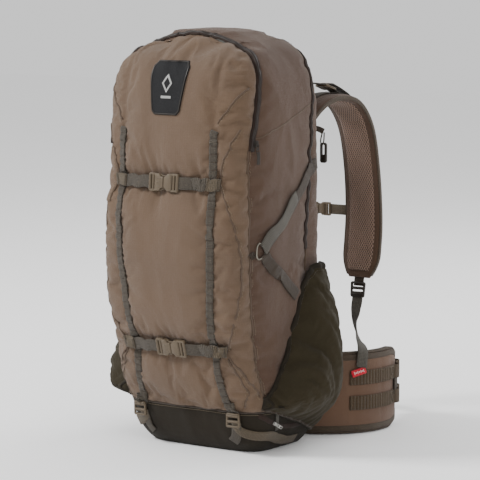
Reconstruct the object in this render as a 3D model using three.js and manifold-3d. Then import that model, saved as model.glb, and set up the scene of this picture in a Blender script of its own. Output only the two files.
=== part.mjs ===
// Hunting backpack: an upright fabric bag with a hinged front flap, side pockets, compression straps,
// an inner frame sheet, a shoulder harness and a hip belt. Millimetres, +Z up, origin at the middle of
// the resting base. The front of the bag faces -Y and the wearer stands on the +Y side.
import * as THREE from 'three';
import { mergeVertices } from 'three/addons/utils/BufferGeometryUtils.js';
import Module from 'manifold-3d';

const wasm = await Module();
wasm.setup();

// ---------------------------------------------------------------- driving dimensions
const BAG_HEIGHT = 663;
const WALL = 4;              // padded fabric wall
const GAP = 0.3;             // clearance between neighbouring pieces
const RING_POINTS = 36;      // vertices around the bag
const FRONT_POWER = 5;       // superellipse power of the plan outline's front half
const BACK_POWER = 11;        // the back half has squarer corners
const BASE_SEAM_Z = 70;
const FLAP_HINGE_Z = 525;
const SIDE_SPLIT_Z = 600;    // sides below, top panel above
const WEB = 20;              // compression webbing width
const DAISY_WEB = 15;
const WEB_THICK = 1.8;
const UPPER_STRAP_Z = 435;
const LOWER_STRAP_Z = 173;
const BUCKLE_LENGTH = 56;
const BUCKLE_HEIGHT = 29;
const BUCKLE_THICK = 10;

// ---------------------------------------------------------------- bag outline
// Each row: height, half width, front Y, back Y.
const OUTLINE = [
  [0, 108, -42, 92],
  [8, 116, -52, 97],
  [30, 126, -64, 101],
  [70, 135, -78, 103],
  [120, 140, -96, 104],
  [173, 142, -113, 105],
  [245, 142, -130, 105],
  [316, 140, -138, 105],
  [380, 140, -137, 105],
  [435, 140, -131, 105],
  [490, 139, -128, 105],
  [525, 137, -126, 105],
  [567, 136, -121, 105],
  [601, 130, -115, 105],
  [625, 122, -104, 103],
  [643, 108, -89, 99],
  [656, 86, -72, 89],
  [BAG_HEIGHT, 58, -57, 69],
];

function outlineAt(z) {
  const last = OUTLINE.length - 1;
  const height = THREE.MathUtils.clamp(z, 0, BAG_HEIGHT);
  let i = 0;
  while (i < last - 1 && OUTLINE[i + 1][0] < height) {
    i += 1;
  }
  const low = OUTLINE[i];
  const high = OUTLINE[i + 1];
  const t = (height - low[0]) / (high[0] - low[0]);
  return [1, 2, 3].map((k) => low[k] + t * (high[k] - low[k]));
}

// Outline moved outwards by grow (negative is inwards), also along the height.
function grownOutlineAt(z, grow) {
  const reach = Math.abs(grow);
  const below = outlineAt(z - reach);
  const above = outlineAt(z + reach);
  const pick = grow > 0 ? Math.max : Math.min;
  const half = pick(below[0], above[0]) + grow;
  const front = -pick(-below[1], -above[1]) - grow;
  const back = pick(below[2], above[2]) + grow;
  return { half, middle: (front + back) / 2, depth: (back - front) / 2 };
}

function superRoot(fraction, power) {
  const clamped = Math.min(Math.abs(fraction), 1);
  return (1 - clamped ** power) ** (1 / power);
}

// Bag surface: front Y at (x, z), back Y at (x, z) and side X at (y, z).
function frontY(x, z) {
  const o = grownOutlineAt(z, 0);
  return o.middle - o.depth * superRoot(x / o.half, FRONT_POWER);
}

function backY(x, z) {
  const o = grownOutlineAt(z, 0);
  return o.middle + o.depth * superRoot(x / o.half, BACK_POWER);
}

function sideX(y, z) {
  const o = grownOutlineAt(z, 0);
  return o.half * superRoot((y - o.middle) / o.depth, y < o.middle ? FRONT_POWER : BACK_POWER);
}

// Seam and zip lines seen from the side: Y at height z.
function frontZipY(z) {
  return -98 + 0.25 * (z - 490);
}

function mainZipY(z) {
  return 55 + 0.1 * (z - 318);
}

// ---------------------------------------------------------------- solids
function signedVolume(positions, index) {
  let sum = 0;
  const [a, b, c] = [new THREE.Vector3(), new THREE.Vector3(), new THREE.Vector3()];
  for (let i = 0; i < index.length; i += 3) {
    a.fromArray(positions, 3 * index[i]);
    b.fromArray(positions, 3 * index[i + 1]);
    c.fromArray(positions, 3 * index[i + 2]);
    sum += a.dot(b.cross(c));
  }
  return sum / 6;
}

function closedGeometry(points, triangles) {
  const positions = new Float32Array(points.flatMap((p) => [p.x, p.y, p.z]));
  let index = triangles.flat();
  if (signedVolume(positions, index) < 0) {
    index = triangles.flatMap(([a, b, c]) => [a, c, b]);
  }
  const geometry = new THREE.BufferGeometry();
  geometry.setAttribute('position', new THREE.BufferAttribute(positions, 3));
  geometry.setIndex(index);
  return geometry;
}

// Skin over a row of equal outlines, capped at both ends, or closed on itself.
function loft(stations, ringClosed = false) {
  const count = stations[0].length;
  const points = stations.flat();
  const triangles = [];
  const rows = ringClosed ? stations.length : stations.length - 1;
  for (let r = 0; r < rows; r += 1) {
    const next = (r + 1) % stations.length;
    for (let k = 0; k < count; k += 1) {
      const a = r * count + k;
      const b = r * count + ((k + 1) % count);
      const c = next * count + k;
      const d = next * count + ((k + 1) % count);
      triangles.push([a, b, d], [a, d, c]);
    }
  }
  if (!ringClosed) {
    const end = (stations.length - 1) * count;
    for (let k = 1; k < count - 1; k += 1) {
      triangles.push([0, k + 1, k], [end, end + k, end + k + 1]);
    }
  }
  return closedGeometry(points, triangles);
}

// Sheet between two point grids, closed around its edge. inner and outer map (i, j) to a point.
function thickSheet(columns, rows, inner, outer) {
  const points = [];
  for (const layer of [inner, outer]) {
    for (let i = 0; i <= columns; i += 1) {
      for (let j = 0; j <= rows; j += 1) {
        points.push(layer(i / columns, j / rows));
      }
    }
  }
  const stride = rows + 1;
  const layerSize = (columns + 1) * stride;
  const at = (layer, i, j) => layer * layerSize + i * stride + j;
  const triangles = [];
  for (let i = 0; i < columns; i += 1) {
    for (let j = 0; j < rows; j += 1) {
      triangles.push([at(0, i, j), at(0, i, j + 1), at(0, i + 1, j + 1)]);
      triangles.push([at(0, i, j), at(0, i + 1, j + 1), at(0, i + 1, j)]);
      triangles.push([at(1, i, j), at(1, i + 1, j + 1), at(1, i, j + 1)]);
      triangles.push([at(1, i, j), at(1, i + 1, j), at(1, i + 1, j + 1)]);
    }
  }
  const border = [];
  for (let i = 0; i < columns; i += 1) {
    border.push([[i, 0], [i + 1, 0]], [[i + 1, rows], [i, rows]]);
  }
  for (let j = 0; j < rows; j += 1) {
    border.push([[columns, j], [columns, j + 1]], [[0, j + 1], [0, j]]);
  }
  for (const [p, q] of border) {
    triangles.push([at(0, ...p), at(0, ...q), at(1, ...q)]);
    triangles.push([at(0, ...p), at(1, ...q), at(1, ...p)]);
  }
  return closedGeometry(points, triangles);
}

// Flat webbing along a curve. Each row gives a point on its underside and the outward normal there.
function webbing(rows, width, thick = WEB_THICK) {
  const stations = rows.map(([point, normal], i) => {
    const before = rows[Math.max(i - 1, 0)][0];
    const after = rows[Math.min(i + 1, rows.length - 1)][0];
    const along = after.clone().sub(before).normalize();
    const across = along.clone().cross(normal).normalize();
    const up = across.clone().cross(along).normalize();
    const corner = (side, lift) => point.clone().addScaledVector(across, side).addScaledVector(up, lift);
    const half = width / 2;
    return [corner(-half, 0), corner(half, 0), corner(half, thick), corner(-half, thick)];
  });
  return loft(stations);
}

function toManifold(source) {
  const geometry = source.clone();
  for (const name of ['normal', 'uv']) {
    geometry.deleteAttribute(name);
  }
  const merged = mergeVertices(geometry, 1e-4);
  return new wasm.Manifold(new wasm.Mesh({
    numProp: 3,
    vertProperties: Float32Array.from(merged.attributes.position.array),
    triVerts: Uint32Array.from(merged.index.array),
  }));
}

function toGeometry(manifold) {
  const mesh = manifold.getMesh();
  const geometry = new THREE.BufferGeometry();
  geometry.setAttribute('position', new THREE.BufferAttribute(Float32Array.from(mesh.vertProperties), 3));
  geometry.setIndex(Array.from(mesh.triVerts));
  return geometry;
}

// Box from its lowest and highest corner.
function block(low, high) {
  const size = high.map((v, k) => v - low[k]);
  const box = new THREE.BoxGeometry(...size);
  box.translate(...low.map((v, k) => v + size[k] / 2));
  return toManifold(box);
}

// Prism along X over an outline of [y, z] points.
function sidePrism(outline, fromX = -300, toX = 300) {
  const stations = [fromX, toX].map((x) => outline.map(([y, z]) => new THREE.Vector3(x, y, z)));
  return toManifold(loft(stations));
}

function mirrored(geometry) {
  const copy = geometry.clone();
  copy.scale(-1, 1, 1);
  const index = Array.from(copy.index.array);
  for (let i = 0; i < index.length; i += 3) {
    [index[i + 1], index[i + 2]] = [index[i + 2], index[i + 1]];
  }
  copy.setIndex(index);
  return copy;
}

// ---------------------------------------------------------------- materials and the scene graph
const FINISHES = {
  front_fabric: [0x82715f, 0.9, 0],
  side_fabric: [0x675a4d, 0.9, 0],
  dark_fabric: [0x38352a, 0.95, 0],
  webbing: [0x67614f, 0.85, 0],
  zip_tape: [0x4a3c32, 0.9, 0],
  mesh_lining: [0x463730, 0.95, 0],
  tag_fabric: [0xb8122a, 0.8, 0],
  patch: [0x26262d, 0.8, 0],
  buckle_plastic: [0x57503f, 0.6, 0],
  dark_plastic: [0x2b2723, 0.6, 0],
  wire: [0x8d8a82, 0.4, 1],
  frame_plastic: [0x1e1e1e, 0.6, 0],
};

const backpack = new THREE.Group();

function add(name, geometry, finish, parent = backpack) {
  const [color, roughness, metalness] = FINISHES[finish];
  const material = new THREE.MeshStandardMaterial({ color, roughness, metalness });
  const mesh = new THREE.Mesh(geometry, material);
  mesh.name = name;
  parent.add(mesh);
  return mesh;
}

function addPair(name, rightGeometry, finish) {
  add(`${name}_right`, rightGeometry, finish);
  add(`${name}_left`, mirrored(rightGeometry), finish);
}

// ---------------------------------------------------------------- bag panels
const HEIGHTS = OUTLINE.map((row) => row[0]);

function outlineRing(z, grow) {
  const o = grownOutlineAt(z, grow);
  const ring = [];
  for (let k = 0; k < RING_POINTS; k += 1) {
    const angle = (2 * Math.PI * (k + 0.5)) / RING_POINTS;
    const [c, s] = [Math.cos(angle), Math.sin(angle)];
    const power = s < 0 ? FRONT_POWER : BACK_POWER;
    const x = o.half * Math.sign(c) * Math.abs(c) ** (2 / power);
    const y = o.middle + o.depth * Math.sign(s) * Math.abs(s) ** (2 / power);
    ring.push(new THREE.Vector3(x, y, z));
  }
  return ring;
}

function bagBody(grow) {
  const last = HEIGHTS.length - 1;
  const stations = HEIGHTS.map((z, i) => {
    const end = i === 0 ? -grow : (i === last ? grow : 0);
    return outlineRing(z + end, grow);
  });
  return toManifold(loft(stations));
}

const outerBody = bagBody(0);
const shell = outerBody.subtract(bagBody(-WALL));
const half = GAP / 2;

// Seam between the front panel and the side panels, from the base seam up to the flap.
const FRONT_SEAM = [
  [-45, BASE_SEAM_Z], [-66, 120], [-84, LOWER_STRAP_Z], [-96, 245], [-98, 316], [-98, 490],
  [frontZipY(FLAP_HINGE_Z), FLAP_HINGE_Z], [frontZipY(700), 700],
];

function seamRegion(seam, farY, shift) {
  const moved = seam.map(([y, z]) => [y + shift, z]);
  return sidePrism([...moved, [farY, seam[seam.length - 1][1]], [farY, seam[0][1]]]);
}

const aheadOfFrontSeam = seamRegion(FRONT_SEAM, -300, -half);
const behindFrontSeam = seamRegion(FRONT_SEAM, 300, half);
const mainZipLine = [[mainZipY(0), 0], [mainZipY(700), 700]];
const aheadOfMainZip = seamRegion(mainZipLine, -300, -half);
const behindMainZip = seamRegion(mainZipLine, 300, half);

function slab(fromZ, toZ, fromX = -300, toX = 300) {
  return block([fromX, -300, fromZ], [toX, 300, toZ]);
}

const middle = shell.intersect(behindFrontSeam).intersect(aheadOfMainZip);
const frontPart = shell.intersect(aheadOfFrontSeam);
const base = shell.intersect(slab(-10, BASE_SEAM_Z - half));
const backPart = shell.intersect(behindMainZip).intersect(slab(BASE_SEAM_Z + half, 700));

add('base_panel', toGeometry(base), 'dark_fabric');
add('front_panel', toGeometry(frontPart.intersect(slab(BASE_SEAM_Z + half, FLAP_HINGE_Z - half))),
  'front_fabric');
add('side_panel_right', toGeometry(middle.intersect(slab(BASE_SEAM_Z + half, SIDE_SPLIT_Z - half, 0, 300))),
  'side_fabric');
add('side_panel_left', toGeometry(middle.intersect(slab(BASE_SEAM_Z + half, SIDE_SPLIT_Z - half, -300, 0))),
  'side_fabric');
add('top_panel', toGeometry(middle.intersect(slab(SIDE_SPLIT_Z + half, 700))), 'side_fabric');
add('back_panel', toGeometry(backPart), 'side_fabric');
add('front_flap', toGeometry(frontPart.intersect(slab(FLAP_HINGE_Z + half, 700))), 'front_fabric');

// ---------------------------------------------------------------- zips
const TAPE_LIFT = 0.5;
const TAPE_TOP = 1.8;
const FRONT_TAPE_WIDTH = 9;
const MAIN_TAPE_WIDTH = 12;
const tapeSkin = bagBody(TAPE_TOP).subtract(bagBody(TAPE_LIFT));
const bandBetween = (line, from, to, lowZ) => sidePrism([
  ...line.map(([y, z]) => [y + from, z]),
  ...line.map(([y, z]) => [y + to, z]).reverse(),
]).intersect(slab(lowZ, 700));
const frontZipLine = [[frontZipY(480), 480], [frontZipY(700), 700]];
const FRONT_ZIP_END_Z = 488;
const MAIN_ZIP_END_Z = 322;
add('front_zip_tape', toGeometry(tapeSkin.intersect(
  bandBetween(frontZipLine, GAP, FRONT_TAPE_WIDTH, FRONT_ZIP_END_Z))), 'zip_tape');
add('main_zip_tape', toGeometry(tapeSkin.intersect(
  bandBetween(mainZipLine, -MAIN_TAPE_WIDTH / 2, MAIN_TAPE_WIDTH / 2, MAIN_ZIP_END_Z))), 'zip_tape');

// Zip slider with its puller: body against the tape, tab hanging below it.
function zipSlider(bodyLength, bodyWidth, tabLength) {
  const body = block([0, -bodyWidth / 2, -bodyLength / 2], [4, bodyWidth / 2, bodyLength / 2]);
  const tab = block([1.5, -2, -bodyLength / 2 - tabLength], [3.5, 2, -bodyLength / 2 + 2]);
  const hole = block([-1, -0.9, -bodyLength / 2 - tabLength + 2], [5, 0.9, -bodyLength / 2 - tabLength + 5]);
  return body.add(tab).subtract(hole);
}

function frontZipAngle() {
  return Math.atan(0.25);
}

const FRONT_SLIDER_Z = 506;
const SLIDER_LIFT = TAPE_TOP + 0.8;
const frontSlider = add('front_zip_slider', toGeometry(zipSlider(11, 8, 14)), 'dark_plastic');
frontSlider.position.set(139 + SLIDER_LIFT, frontZipY(FRONT_SLIDER_Z) + 5, FRONT_SLIDER_Z);
frontSlider.rotation.set(-frontZipAngle(), 0, 0);

const MAIN_SLIDER_Z = 440;
const mainSlider = add('main_zip_slider', toGeometry(zipSlider(12, 9, 18)), 'dark_plastic');
const mainSliderY = mainZipY(MAIN_SLIDER_Z);
mainSlider.position.set(-sideX(mainSliderY, MAIN_SLIDER_Z) - 4, mainSliderY, MAIN_SLIDER_Z);
mainSlider.rotation.set(-Math.atan(0.1), 0, Math.PI);

// ---------------------------------------------------------------- patch
const PATCH_LOW = 541;
const PATCH_HIGH = 625;
const PATCH_THICK = 2.2;
function patchPoint(lift) {
  return (u, v) => {
    const z = PATCH_LOW + v * (PATCH_HIGH - PATCH_LOW);
    const taper = 21 + 14.5 * Math.min(v / 0.8, 1);
    const cut = 8 * Math.max((v - 0.85) / 0.15, 0) + 5 * Math.max((0.1 - v) / 0.1, 0);
    const x = (2 * u - 1) * (taper - cut);
    return new THREE.Vector3(x, frontY(x, z) - lift, z);
  };
}
add('logo_patch', thickSheet(8, 12, patchPoint(0.9), patchPoint(0.9 + PATCH_THICK)), 'patch');

// ---------------------------------------------------------------- webbing on the front
function frontNormal(x, z) {
  const step = 2;
  const slopeX = (frontY(x + step, z) - frontY(x - step, z)) / (2 * step);
  const slopeZ = (frontY(x, z + step) - frontY(x, z - step)) / (2 * step);
  return new THREE.Vector3(slopeX, -1, slopeZ).normalize();
}

function onFront(x, z, lift) {
  const normal = frontNormal(x, z);
  return [new THREE.Vector3(x, frontY(x, z), z).addScaledVector(normal, lift), normal];
}

// The two vertical chains are drawn together at the lower strap.
const DAISY_LOW_Z = 78;
const DAISY_HIGH_Z = 518;
const DAISY_X = 88;
const DAISY_PINCH = 11;
const DAISY_LIFT = 1.2;
const STRAP_LIFT = 4.2;
function daisyX(z) {
  const away = (z - LOWER_STRAP_Z) / 95;
  return DAISY_X - DAISY_PINCH * Math.exp(-away * away);
}
const DAISY_STEPS = 26;
const daisyRows = [];
for (let i = 0; i <= DAISY_STEPS; i += 1) {
  const z = DAISY_LOW_Z + (i / DAISY_STEPS) * (DAISY_HIGH_Z - DAISY_LOW_Z);
  daisyRows.push(onFront(daisyX(z), z, DAISY_LIFT));
}
addPair('daisy_chain', webbing(daisyRows, DAISY_WEB), 'webbing');

// Side-release buckle along X, middle at the joint between its halves.
function ladderSlots(x) {
  const slot = (at) => block([at - 1.5, -20, -WEB / 2 - 0.5], [at + 1.5, 20, WEB / 2 + 0.5]);
  return slot(x).add(slot(x + 6));
}

function femaleHalf() {
  const [t, h] = [BUCKLE_THICK / 2, BUCKLE_HEIGHT / 2];
  const body = block([-BUCKLE_LENGTH / 2, -t, -h], [0, t, h]);
  const cavity = block([-19, -3, -h + 2.5], [1, 3, h - 2.5]);
  const window = block([-15, -3, -h - 1], [-6, 3, h + 1]);
  return body.subtract(cavity).subtract(window).subtract(block([-26, -20, -10.5], [-22.5, 20, 10.5]));
}

function maleHalf() {
  const [t, h] = [BUCKLE_THICK / 2, BUCKLE_HEIGHT / 2];
  const body = block([0.4, -t, -h], [BUCKLE_LENGTH / 2, t, h]);
  const arm = (z) => block([-17, -2.4, z - 1.6], [3, 2.4, z + 1.6]);
  const pin = block([-14, -1.5, -1.5], [3, 1.5, 1.5]);
  const solid = body.add(arm(-8.5)).add(arm(8.5)).add(pin);
  return solid.subtract(ladderSlots(17));
}

// Compression strap over the front: webbing on both sides of a buckle.
const BUCKLE_REACH = 12;
function addFrontStrap(level, z) {
  const strap = (fromX, toX) => {
    const steps = 8;
    const rows = [];
    for (let i = 0; i <= steps; i += 1) {
      const x = fromX + (i / steps) * (toX - fromX);
      rows.push(onFront(x, z, STRAP_LIFT));
    }
    return webbing(rows, WEB);
  };
  add(`${level}_strap_left`, strap(-98, -BUCKLE_LENGTH / 2 - 1), 'webbing');
  add(`${level}_strap_right`, strap(BUCKLE_LENGTH / 2 + 26, 98), 'webbing');
  const [point, normal] = onFront(0, z, STRAP_LIFT + 2.5);
  const lean = Math.atan2(-normal.z, -normal.y);
  for (const [name, solid] of [['female', femaleHalf()], ['male', maleHalf()]]) {
    const mesh = add(`${level}_buckle_${name}`, toGeometry(solid), 'buckle_plastic');
    mesh.position.set(0, point.y, point.z);
    mesh.rotation.set(lean, 0, 0);
  }
}
addFrontStrap('upper', UPPER_STRAP_Z);
addFrontStrap('lower', LOWER_STRAP_Z);

// ---------------------------------------------------------------- side pockets
const POCKET_REAR_Y = 98;
const POCKET_FRONT_Y = -58;
const POCKET_LOW_Z = 14;
const POCKET_FRONT_RISE = 62;
const POCKET_FABRIC = 2.5;
const POCKET_BULGE = 66;
const POCKET_LIFT = 2.2;

// Mouth height along Y: a long slant at the front that levels off at the rear.
function pocketMouthZ(y) {
  if (y < -18) {
    return 84 + ((y - POCKET_FRONT_Y) / (-18 - POCKET_FRONT_Y)) * 81;
  }
  if (y < 46) {
    return 165 + ((y + 18) / 64) * 148;
  }
  return 313 + ((y - 46) / 54) * 6;
}

function pocketPoint(lift) {
  return (u, v) => {
    const y = POCKET_FRONT_Y + u * (POCKET_REAR_Y - POCKET_FRONT_Y);
    const lowZ = POCKET_LOW_Z + POCKET_FRONT_RISE * (1 - u) ** 0.9;
    const z = lowZ + v * (pocketMouthZ(y) - lowZ);
    const along = Math.sin(Math.PI * u ** 1.05) ** 0.33;
    const rise = Math.sin(0.5 * Math.PI * Math.min(v / 0.3, 1)) ** 0.7;
    const fall = 1 - 0.5 * Math.max((v - 0.5) / 0.5, 0) ** 2;
    const bulge = POCKET_BULGE * along * rise * fall;
    const { middle, depth } = grownOutlineAt(z, 0);
    const safeY = THREE.MathUtils.clamp(y, middle - depth * 0.97, 94);
    return new THREE.Vector3(sideX(safeY, z) + POCKET_LIFT + bulge + lift, y, z);
  };
}
addPair('side_pocket', thickSheet(14, 11, pocketPoint(0), pocketPoint(POCKET_FABRIC)), 'dark_fabric');

// ---------------------------------------------------------------- webbing on the sides
function sideNormal(y, z) {
  const step = 2;
  const slopeY = (sideX(y + step, z) - sideX(y - step, z)) / (2 * step);
  const slopeZ = (sideX(y, z + step) - sideX(y, z - step)) / (2 * step);
  return new THREE.Vector3(1, -slopeY, -slopeZ).normalize();
}

function sideRow(y, z, lift) {
  const normal = sideNormal(y, z);
  return [new THREE.Vector3(sideX(y, z), y, z).addScaledVector(normal, lift), normal];
}

function sideWebbing(from, to, lift, width, steps = 8) {
  const rows = [];
  for (let i = 0; i <= steps; i += 1) {
    const t = i / steps;
    rows.push(sideRow(from[0] + t * (to[0] - from[0]), from[1] + t * (to[1] - from[1]), lift));
  }
  return webbing(rows, width);
}

const RING_Y = -84;
const RING_Z = 331;
addPair('side_strap_upper', sideWebbing([RING_Y + 10, RING_Z + 9], [44, 438], 2, WEB), 'webbing');
addPair('side_strap_lower', sideWebbing([RING_Y + 9, RING_Z - 11], [-6, 268], 2, WEB), 'webbing');

// Wire ring: a rounded triangle with one side towards the rear.
function wireRing(size, wire) {
  const turns = 18;
  const stations = [];
  for (let i = 0; i < turns; i += 1) {
    const angle = (2 * Math.PI * i) / turns;
    const reach = size * (1 + 0.16 * Math.cos(3 * angle));
    const centre = new THREE.Vector3(0, reach * Math.cos(angle), reach * Math.sin(angle));
    const outward = centre.clone().normalize();
    const station = [];
    for (let k = 0; k < 6; k += 1) {
      const turn = (2 * Math.PI * k) / 6;
      const point = centre.clone().addScaledVector(outward, wire * Math.cos(turn));
      point.x += wire * Math.sin(turn);
      station.push(point);
    }
    stations.push(station);
  }
  return loft(stations, true);
}
const RING_LIFT = 6.6;
for (const [side, sign] of [['right', 1], ['left', -1]]) {
  const ring = add(`side_ring_${side}`, wireRing(12, 1.3), 'wire');
  ring.position.set(sign * (sideX(RING_Y, RING_Z) + RING_LIFT), RING_Y, RING_Z);
}

// ---------------------------------------------------------------- base straps and hardware
addPair('bottom_strap', sideWebbing([-44, 50], [34, 13], 1.6, 18, 6), 'webbing');

// Ladder-lock: frame with two slots, thin along X.
function ladderLock(width, height, thick) {
  const frame = block([-thick / 2, -width / 2, -height / 2], [thick / 2, width / 2, height / 2]);
  const slot = (z) => block([-thick, -width / 2 + 3, z - 2.2], [thick, width / 2 - 3, z + 2.2]);
  return frame.subtract(slot(-height / 4)).subtract(slot(height / 4));
}

for (const [side, sign] of [['right', 1], ['left', -1]]) {
  const lock = add(`bottom_ladder_lock_${side}`, toGeometry(ladderLock(25, 24, 5)), 'dark_plastic');
  lock.position.set(sign * 92, frontY(92, 60) - 10, 58);
  lock.rotation.set(0, 0, sign * -1.05);
}

const COVER_Y = -30;
const COVER_Z = 51;
const COVER_TURN = 0.96;
const coverSlider = add('rain_cover_zip_slider', toGeometry(zipSlider(9, 6, 16)), 'wire');
coverSlider.position.set(sideX(COVER_Y, COVER_Z) + 4.2, COVER_Y, COVER_Z);
coverSlider.rotation.set(COVER_TURN, 0, 0);

// ---------------------------------------------------------------- inside and back
const SHEET_LOW_Z = 85;
const SHEET_HIGH_Z = 540;
const sheetPlate = block([-84, 88, SHEET_LOW_Z], [84, 91, SHEET_HIGH_Z]);
const stayRib = (x) => block([x - 8, 85.5, SHEET_LOW_Z + 10], [x + 8, 89, SHEET_HIGH_Z - 10]);
add('frame_sheet', toGeometry(sheetPlate.add(stayRib(-50)).add(stayRib(50))), 'frame_plastic');

const PAD_FRONT_Y = 105.6;
function paddedPlate(halfWidth, lowZ, highZ, thick, edge) {
  const stations = [];
  for (let i = 0; i <= 10; i += 1) {
    const t = i / 10;
    const z = lowZ + t * (highZ - lowZ);
    const near = Math.min(t, 1 - t) / 0.12;
    const width = halfWidth - edge * (1 - Math.min(near, 1)) ** 2;
    const ring = [];
    const outline = [[-1, 0], [1, 0], [1, 0.45], [0.88, 1], [-0.88, 1], [-1, 0.45]];
    for (const [u, v] of outline) {
      ring.push(new THREE.Vector3(u * width, PAD_FRONT_Y + v * thick, z));
    }
    stations.push(ring);
  }
  return loft(stations);
}
add('back_pad', paddedPlate(92, 152, 448, 14, 14), 'mesh_lining');
add('lumbar_pad', paddedPlate(52, 14, 146, 20, 8), 'mesh_lining');
add('shoulder_yoke', paddedPlate(84, 452, 500, 8, 8), 'side_fabric');

// Haul loop: webbing arch over the top of the back, hinged along its two sewn ends.
const HAUL_Z = 560;
const haulRows = [];
for (let i = 0; i <= 12; i += 1) {
  const angle = (Math.PI * i) / 12;
  const rise = Math.sin(angle);
  const point = new THREE.Vector3(-34 * Math.cos(angle), 113 + 11 * rise, HAUL_Z + 40 * rise);
  haulRows.push([point, new THREE.Vector3(-Math.cos(angle), 0, Math.sin(angle)).normalize()]);
}
add('haul_loop', webbing(haulRows, 16, 2.2), 'webbing');

// Moulded pull that hangs from the yoke on a short loop.
const pullPlate = block([-6, -2, -38], [6, 2, 0]).subtract(block([-3, -5, -34], [3, 5, -14]));
const pullStem = block([-2, -1.2, -1], [2, 1.2, 12]);
const pull = add('hanging_pull', toGeometry(pullPlate.add(pullStem)), 'dark_plastic');
pull.position.set(110, 150, 488);

// ---------------------------------------------------------------- harness
const STRAP_WIDTH = 71;
const STRAP_THICK = 11;
// Route of the right shoulder strap's middle line, from the yoke over the arch to its lower end.
const STRAP_ROUTE = [
  [60, 121, 487], [64, 137, 514], [68, 166, 542], [75, 207, 553], [85, 248, 542], [92, 277, 500],
  [96, 290, 430], [98, 294, 350], [98, 289, 290], [98, 281, 246],
];

function curveOf(points) {
  return new THREE.CatmullRomCurve3(points.map((p) => new THREE.Vector3(...p)));
}

function strapWidthAt(t) {
  const start = 0.72 + 0.28 * Math.min(t / 0.15, 1);
  const end = 1 - 0.5 * Math.max((t - 0.88) / 0.12, 0) ** 1.5;
  return STRAP_WIDTH * start * end;
}

function paddedStrap(route, steps) {
  const curve = curveOf(route);
  const section = [
    [-1, -0.4], [-0.86, -1], [0.86, -1], [1, -0.4], [1, 0.4], [0.86, 1], [-0.86, 1], [-1, 0.4],
  ];
  const stations = [];
  for (let i = 0; i <= steps; i += 1) {
    const t = i / steps;
    const centre = curve.getPointAt(t);
    const along = curve.getTangentAt(t);
    const across = new THREE.Vector3(1, 0, 0).addScaledVector(along, -along.x).normalize();
    const up = across.clone().cross(along);
    const width = strapWidthAt(t) / 2;
    stations.push(section.map(([u, v]) => centre.clone()
      .addScaledVector(across, u * width).addScaledVector(up, (v * STRAP_THICK) / 2)));
  }
  return loft(stations);
}
addPair('shoulder_strap', paddedStrap(STRAP_ROUTE, 26), 'side_fabric');

// Webbing along a route; its face turns from one direction to another on the way.
function routeWebbing(route, steps, width, facing, lastFacing = facing) {
  const curve = curveOf(route);
  const rows = [];
  for (let i = 0; i <= steps; i += 1) {
    rows.push([curve.getPointAt(i / steps), facing.clone().lerp(lastFacing, i / steps).normalize()]);
  }
  return webbing(rows, width);
}

const UP = new THREE.Vector3(0, 0, 1);
const BACK = new THREE.Vector3(0, 1, 0);
const OUTWARD = new THREE.Vector3(0.82, -0.57, 0);
addPair('load_lifter', routeWebbing([[70, 107, 592], [72, 140, 588], [74, 172, 581]], 8, WEB, UP), 'webbing');
addPair('adjuster_webbing', routeWebbing([
  [100, 270, 194], [109, 254, 172], [130, 226, 154], [150, 199, 140], [154, 188.8, 114],
], 12, WEB, BACK, OUTWARD), 'webbing');

// Fabric tag across the sewn end of the right adjuster webbing.
const TAG_SIZE = [2.4, 26, 11];
const tag = add('strap_tag', new THREE.BoxGeometry(...TAG_SIZE), 'tag_fabric');
tag.position.set(159, 183.4, 104);
tag.rotation.set(0.5, 0, -0.6, 'ZYX');

for (const [side, sign] of [['right', 1], ['left', -1]]) {
  const lifter = add(`load_lifter_buckle_${side}`, toGeometry(ladderLock(28, 26, 6)), 'dark_plastic');
  lifter.position.set(sign * 77, 206, 570);
  lifter.rotation.set(0.35, sign * Math.PI / 2, 0, 'ZXY');
  const adjuster = add(`adjuster_buckle_${side}`, toGeometry(ladderLock(28, 26, 6)), 'dark_plastic');
  adjuster.position.set(sign * 98, 276, 226);
  adjuster.rotation.set(0, 0, Math.PI / 2);
}

// Sternum strap on the outer face of the shoulder straps.
const STERNUM_Z = 355;
const STERNUM_Y = 306;
const sternumWeb = (fromX, toX) => webbing([fromX, (fromX + toX) / 2, toX].map((x) => [
  new THREE.Vector3(x, STERNUM_Y, STERNUM_Z), BACK,
]), WEB);
const SMALL = 0.8;
add('sternum_strap_left', sternumWeb(-116, -24), 'webbing');
add('sternum_strap_right', sternumWeb(44, 116), 'webbing');
for (const [name, solid] of [['female', femaleHalf()], ['male', maleHalf()]]) {
  const mesh = add(`sternum_buckle_${name}`, toGeometry(solid).scale(SMALL, SMALL, SMALL), 'buckle_plastic');
  mesh.position.set(0, STERNUM_Y + 1, STERNUM_Z);
}

// ---------------------------------------------------------------- hip belt
const BELT_HALF_X = 160;
const BELT_HALF_Y = 120;
const BELT_MIDDLE_Y = 245;
const BELT_LOW_Z = 2;
const BELT_HIGH_Z = 136;
const BELT_THICK = 13;
const WING_START = -1.24;
const WING_END = 0.98;

function beltPoint(angle, inset, z) {
  const x = (BELT_HALF_X - inset) * Math.cos(angle);
  return new THREE.Vector3(x, BELT_MIDDLE_Y + (BELT_HALF_Y - inset) * Math.sin(angle), z);
}

function wingPoint(inset) {
  return (u, v) => {
    const angle = WING_START + u * (WING_END - WING_START);
    const taper = Math.max((u - 0.62) / 0.38, 0) ** 1.6;
    const low = BELT_LOW_Z + 34 * taper;
    const high = BELT_HIGH_Z - 40 * taper;
    const crown = 1 - (2 * v - 1) ** 6;
    const soft = inset < 1 ? 3 * (1 - crown) : BELT_THICK - 3 * (1 - crown);
    return beltPoint(angle, soft, low + v * (high - low));
  };
}
addPair('hip_wing', thickSheet(18, 6, wingPoint(0), wingPoint(BELT_THICK)), 'side_fabric');

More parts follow.
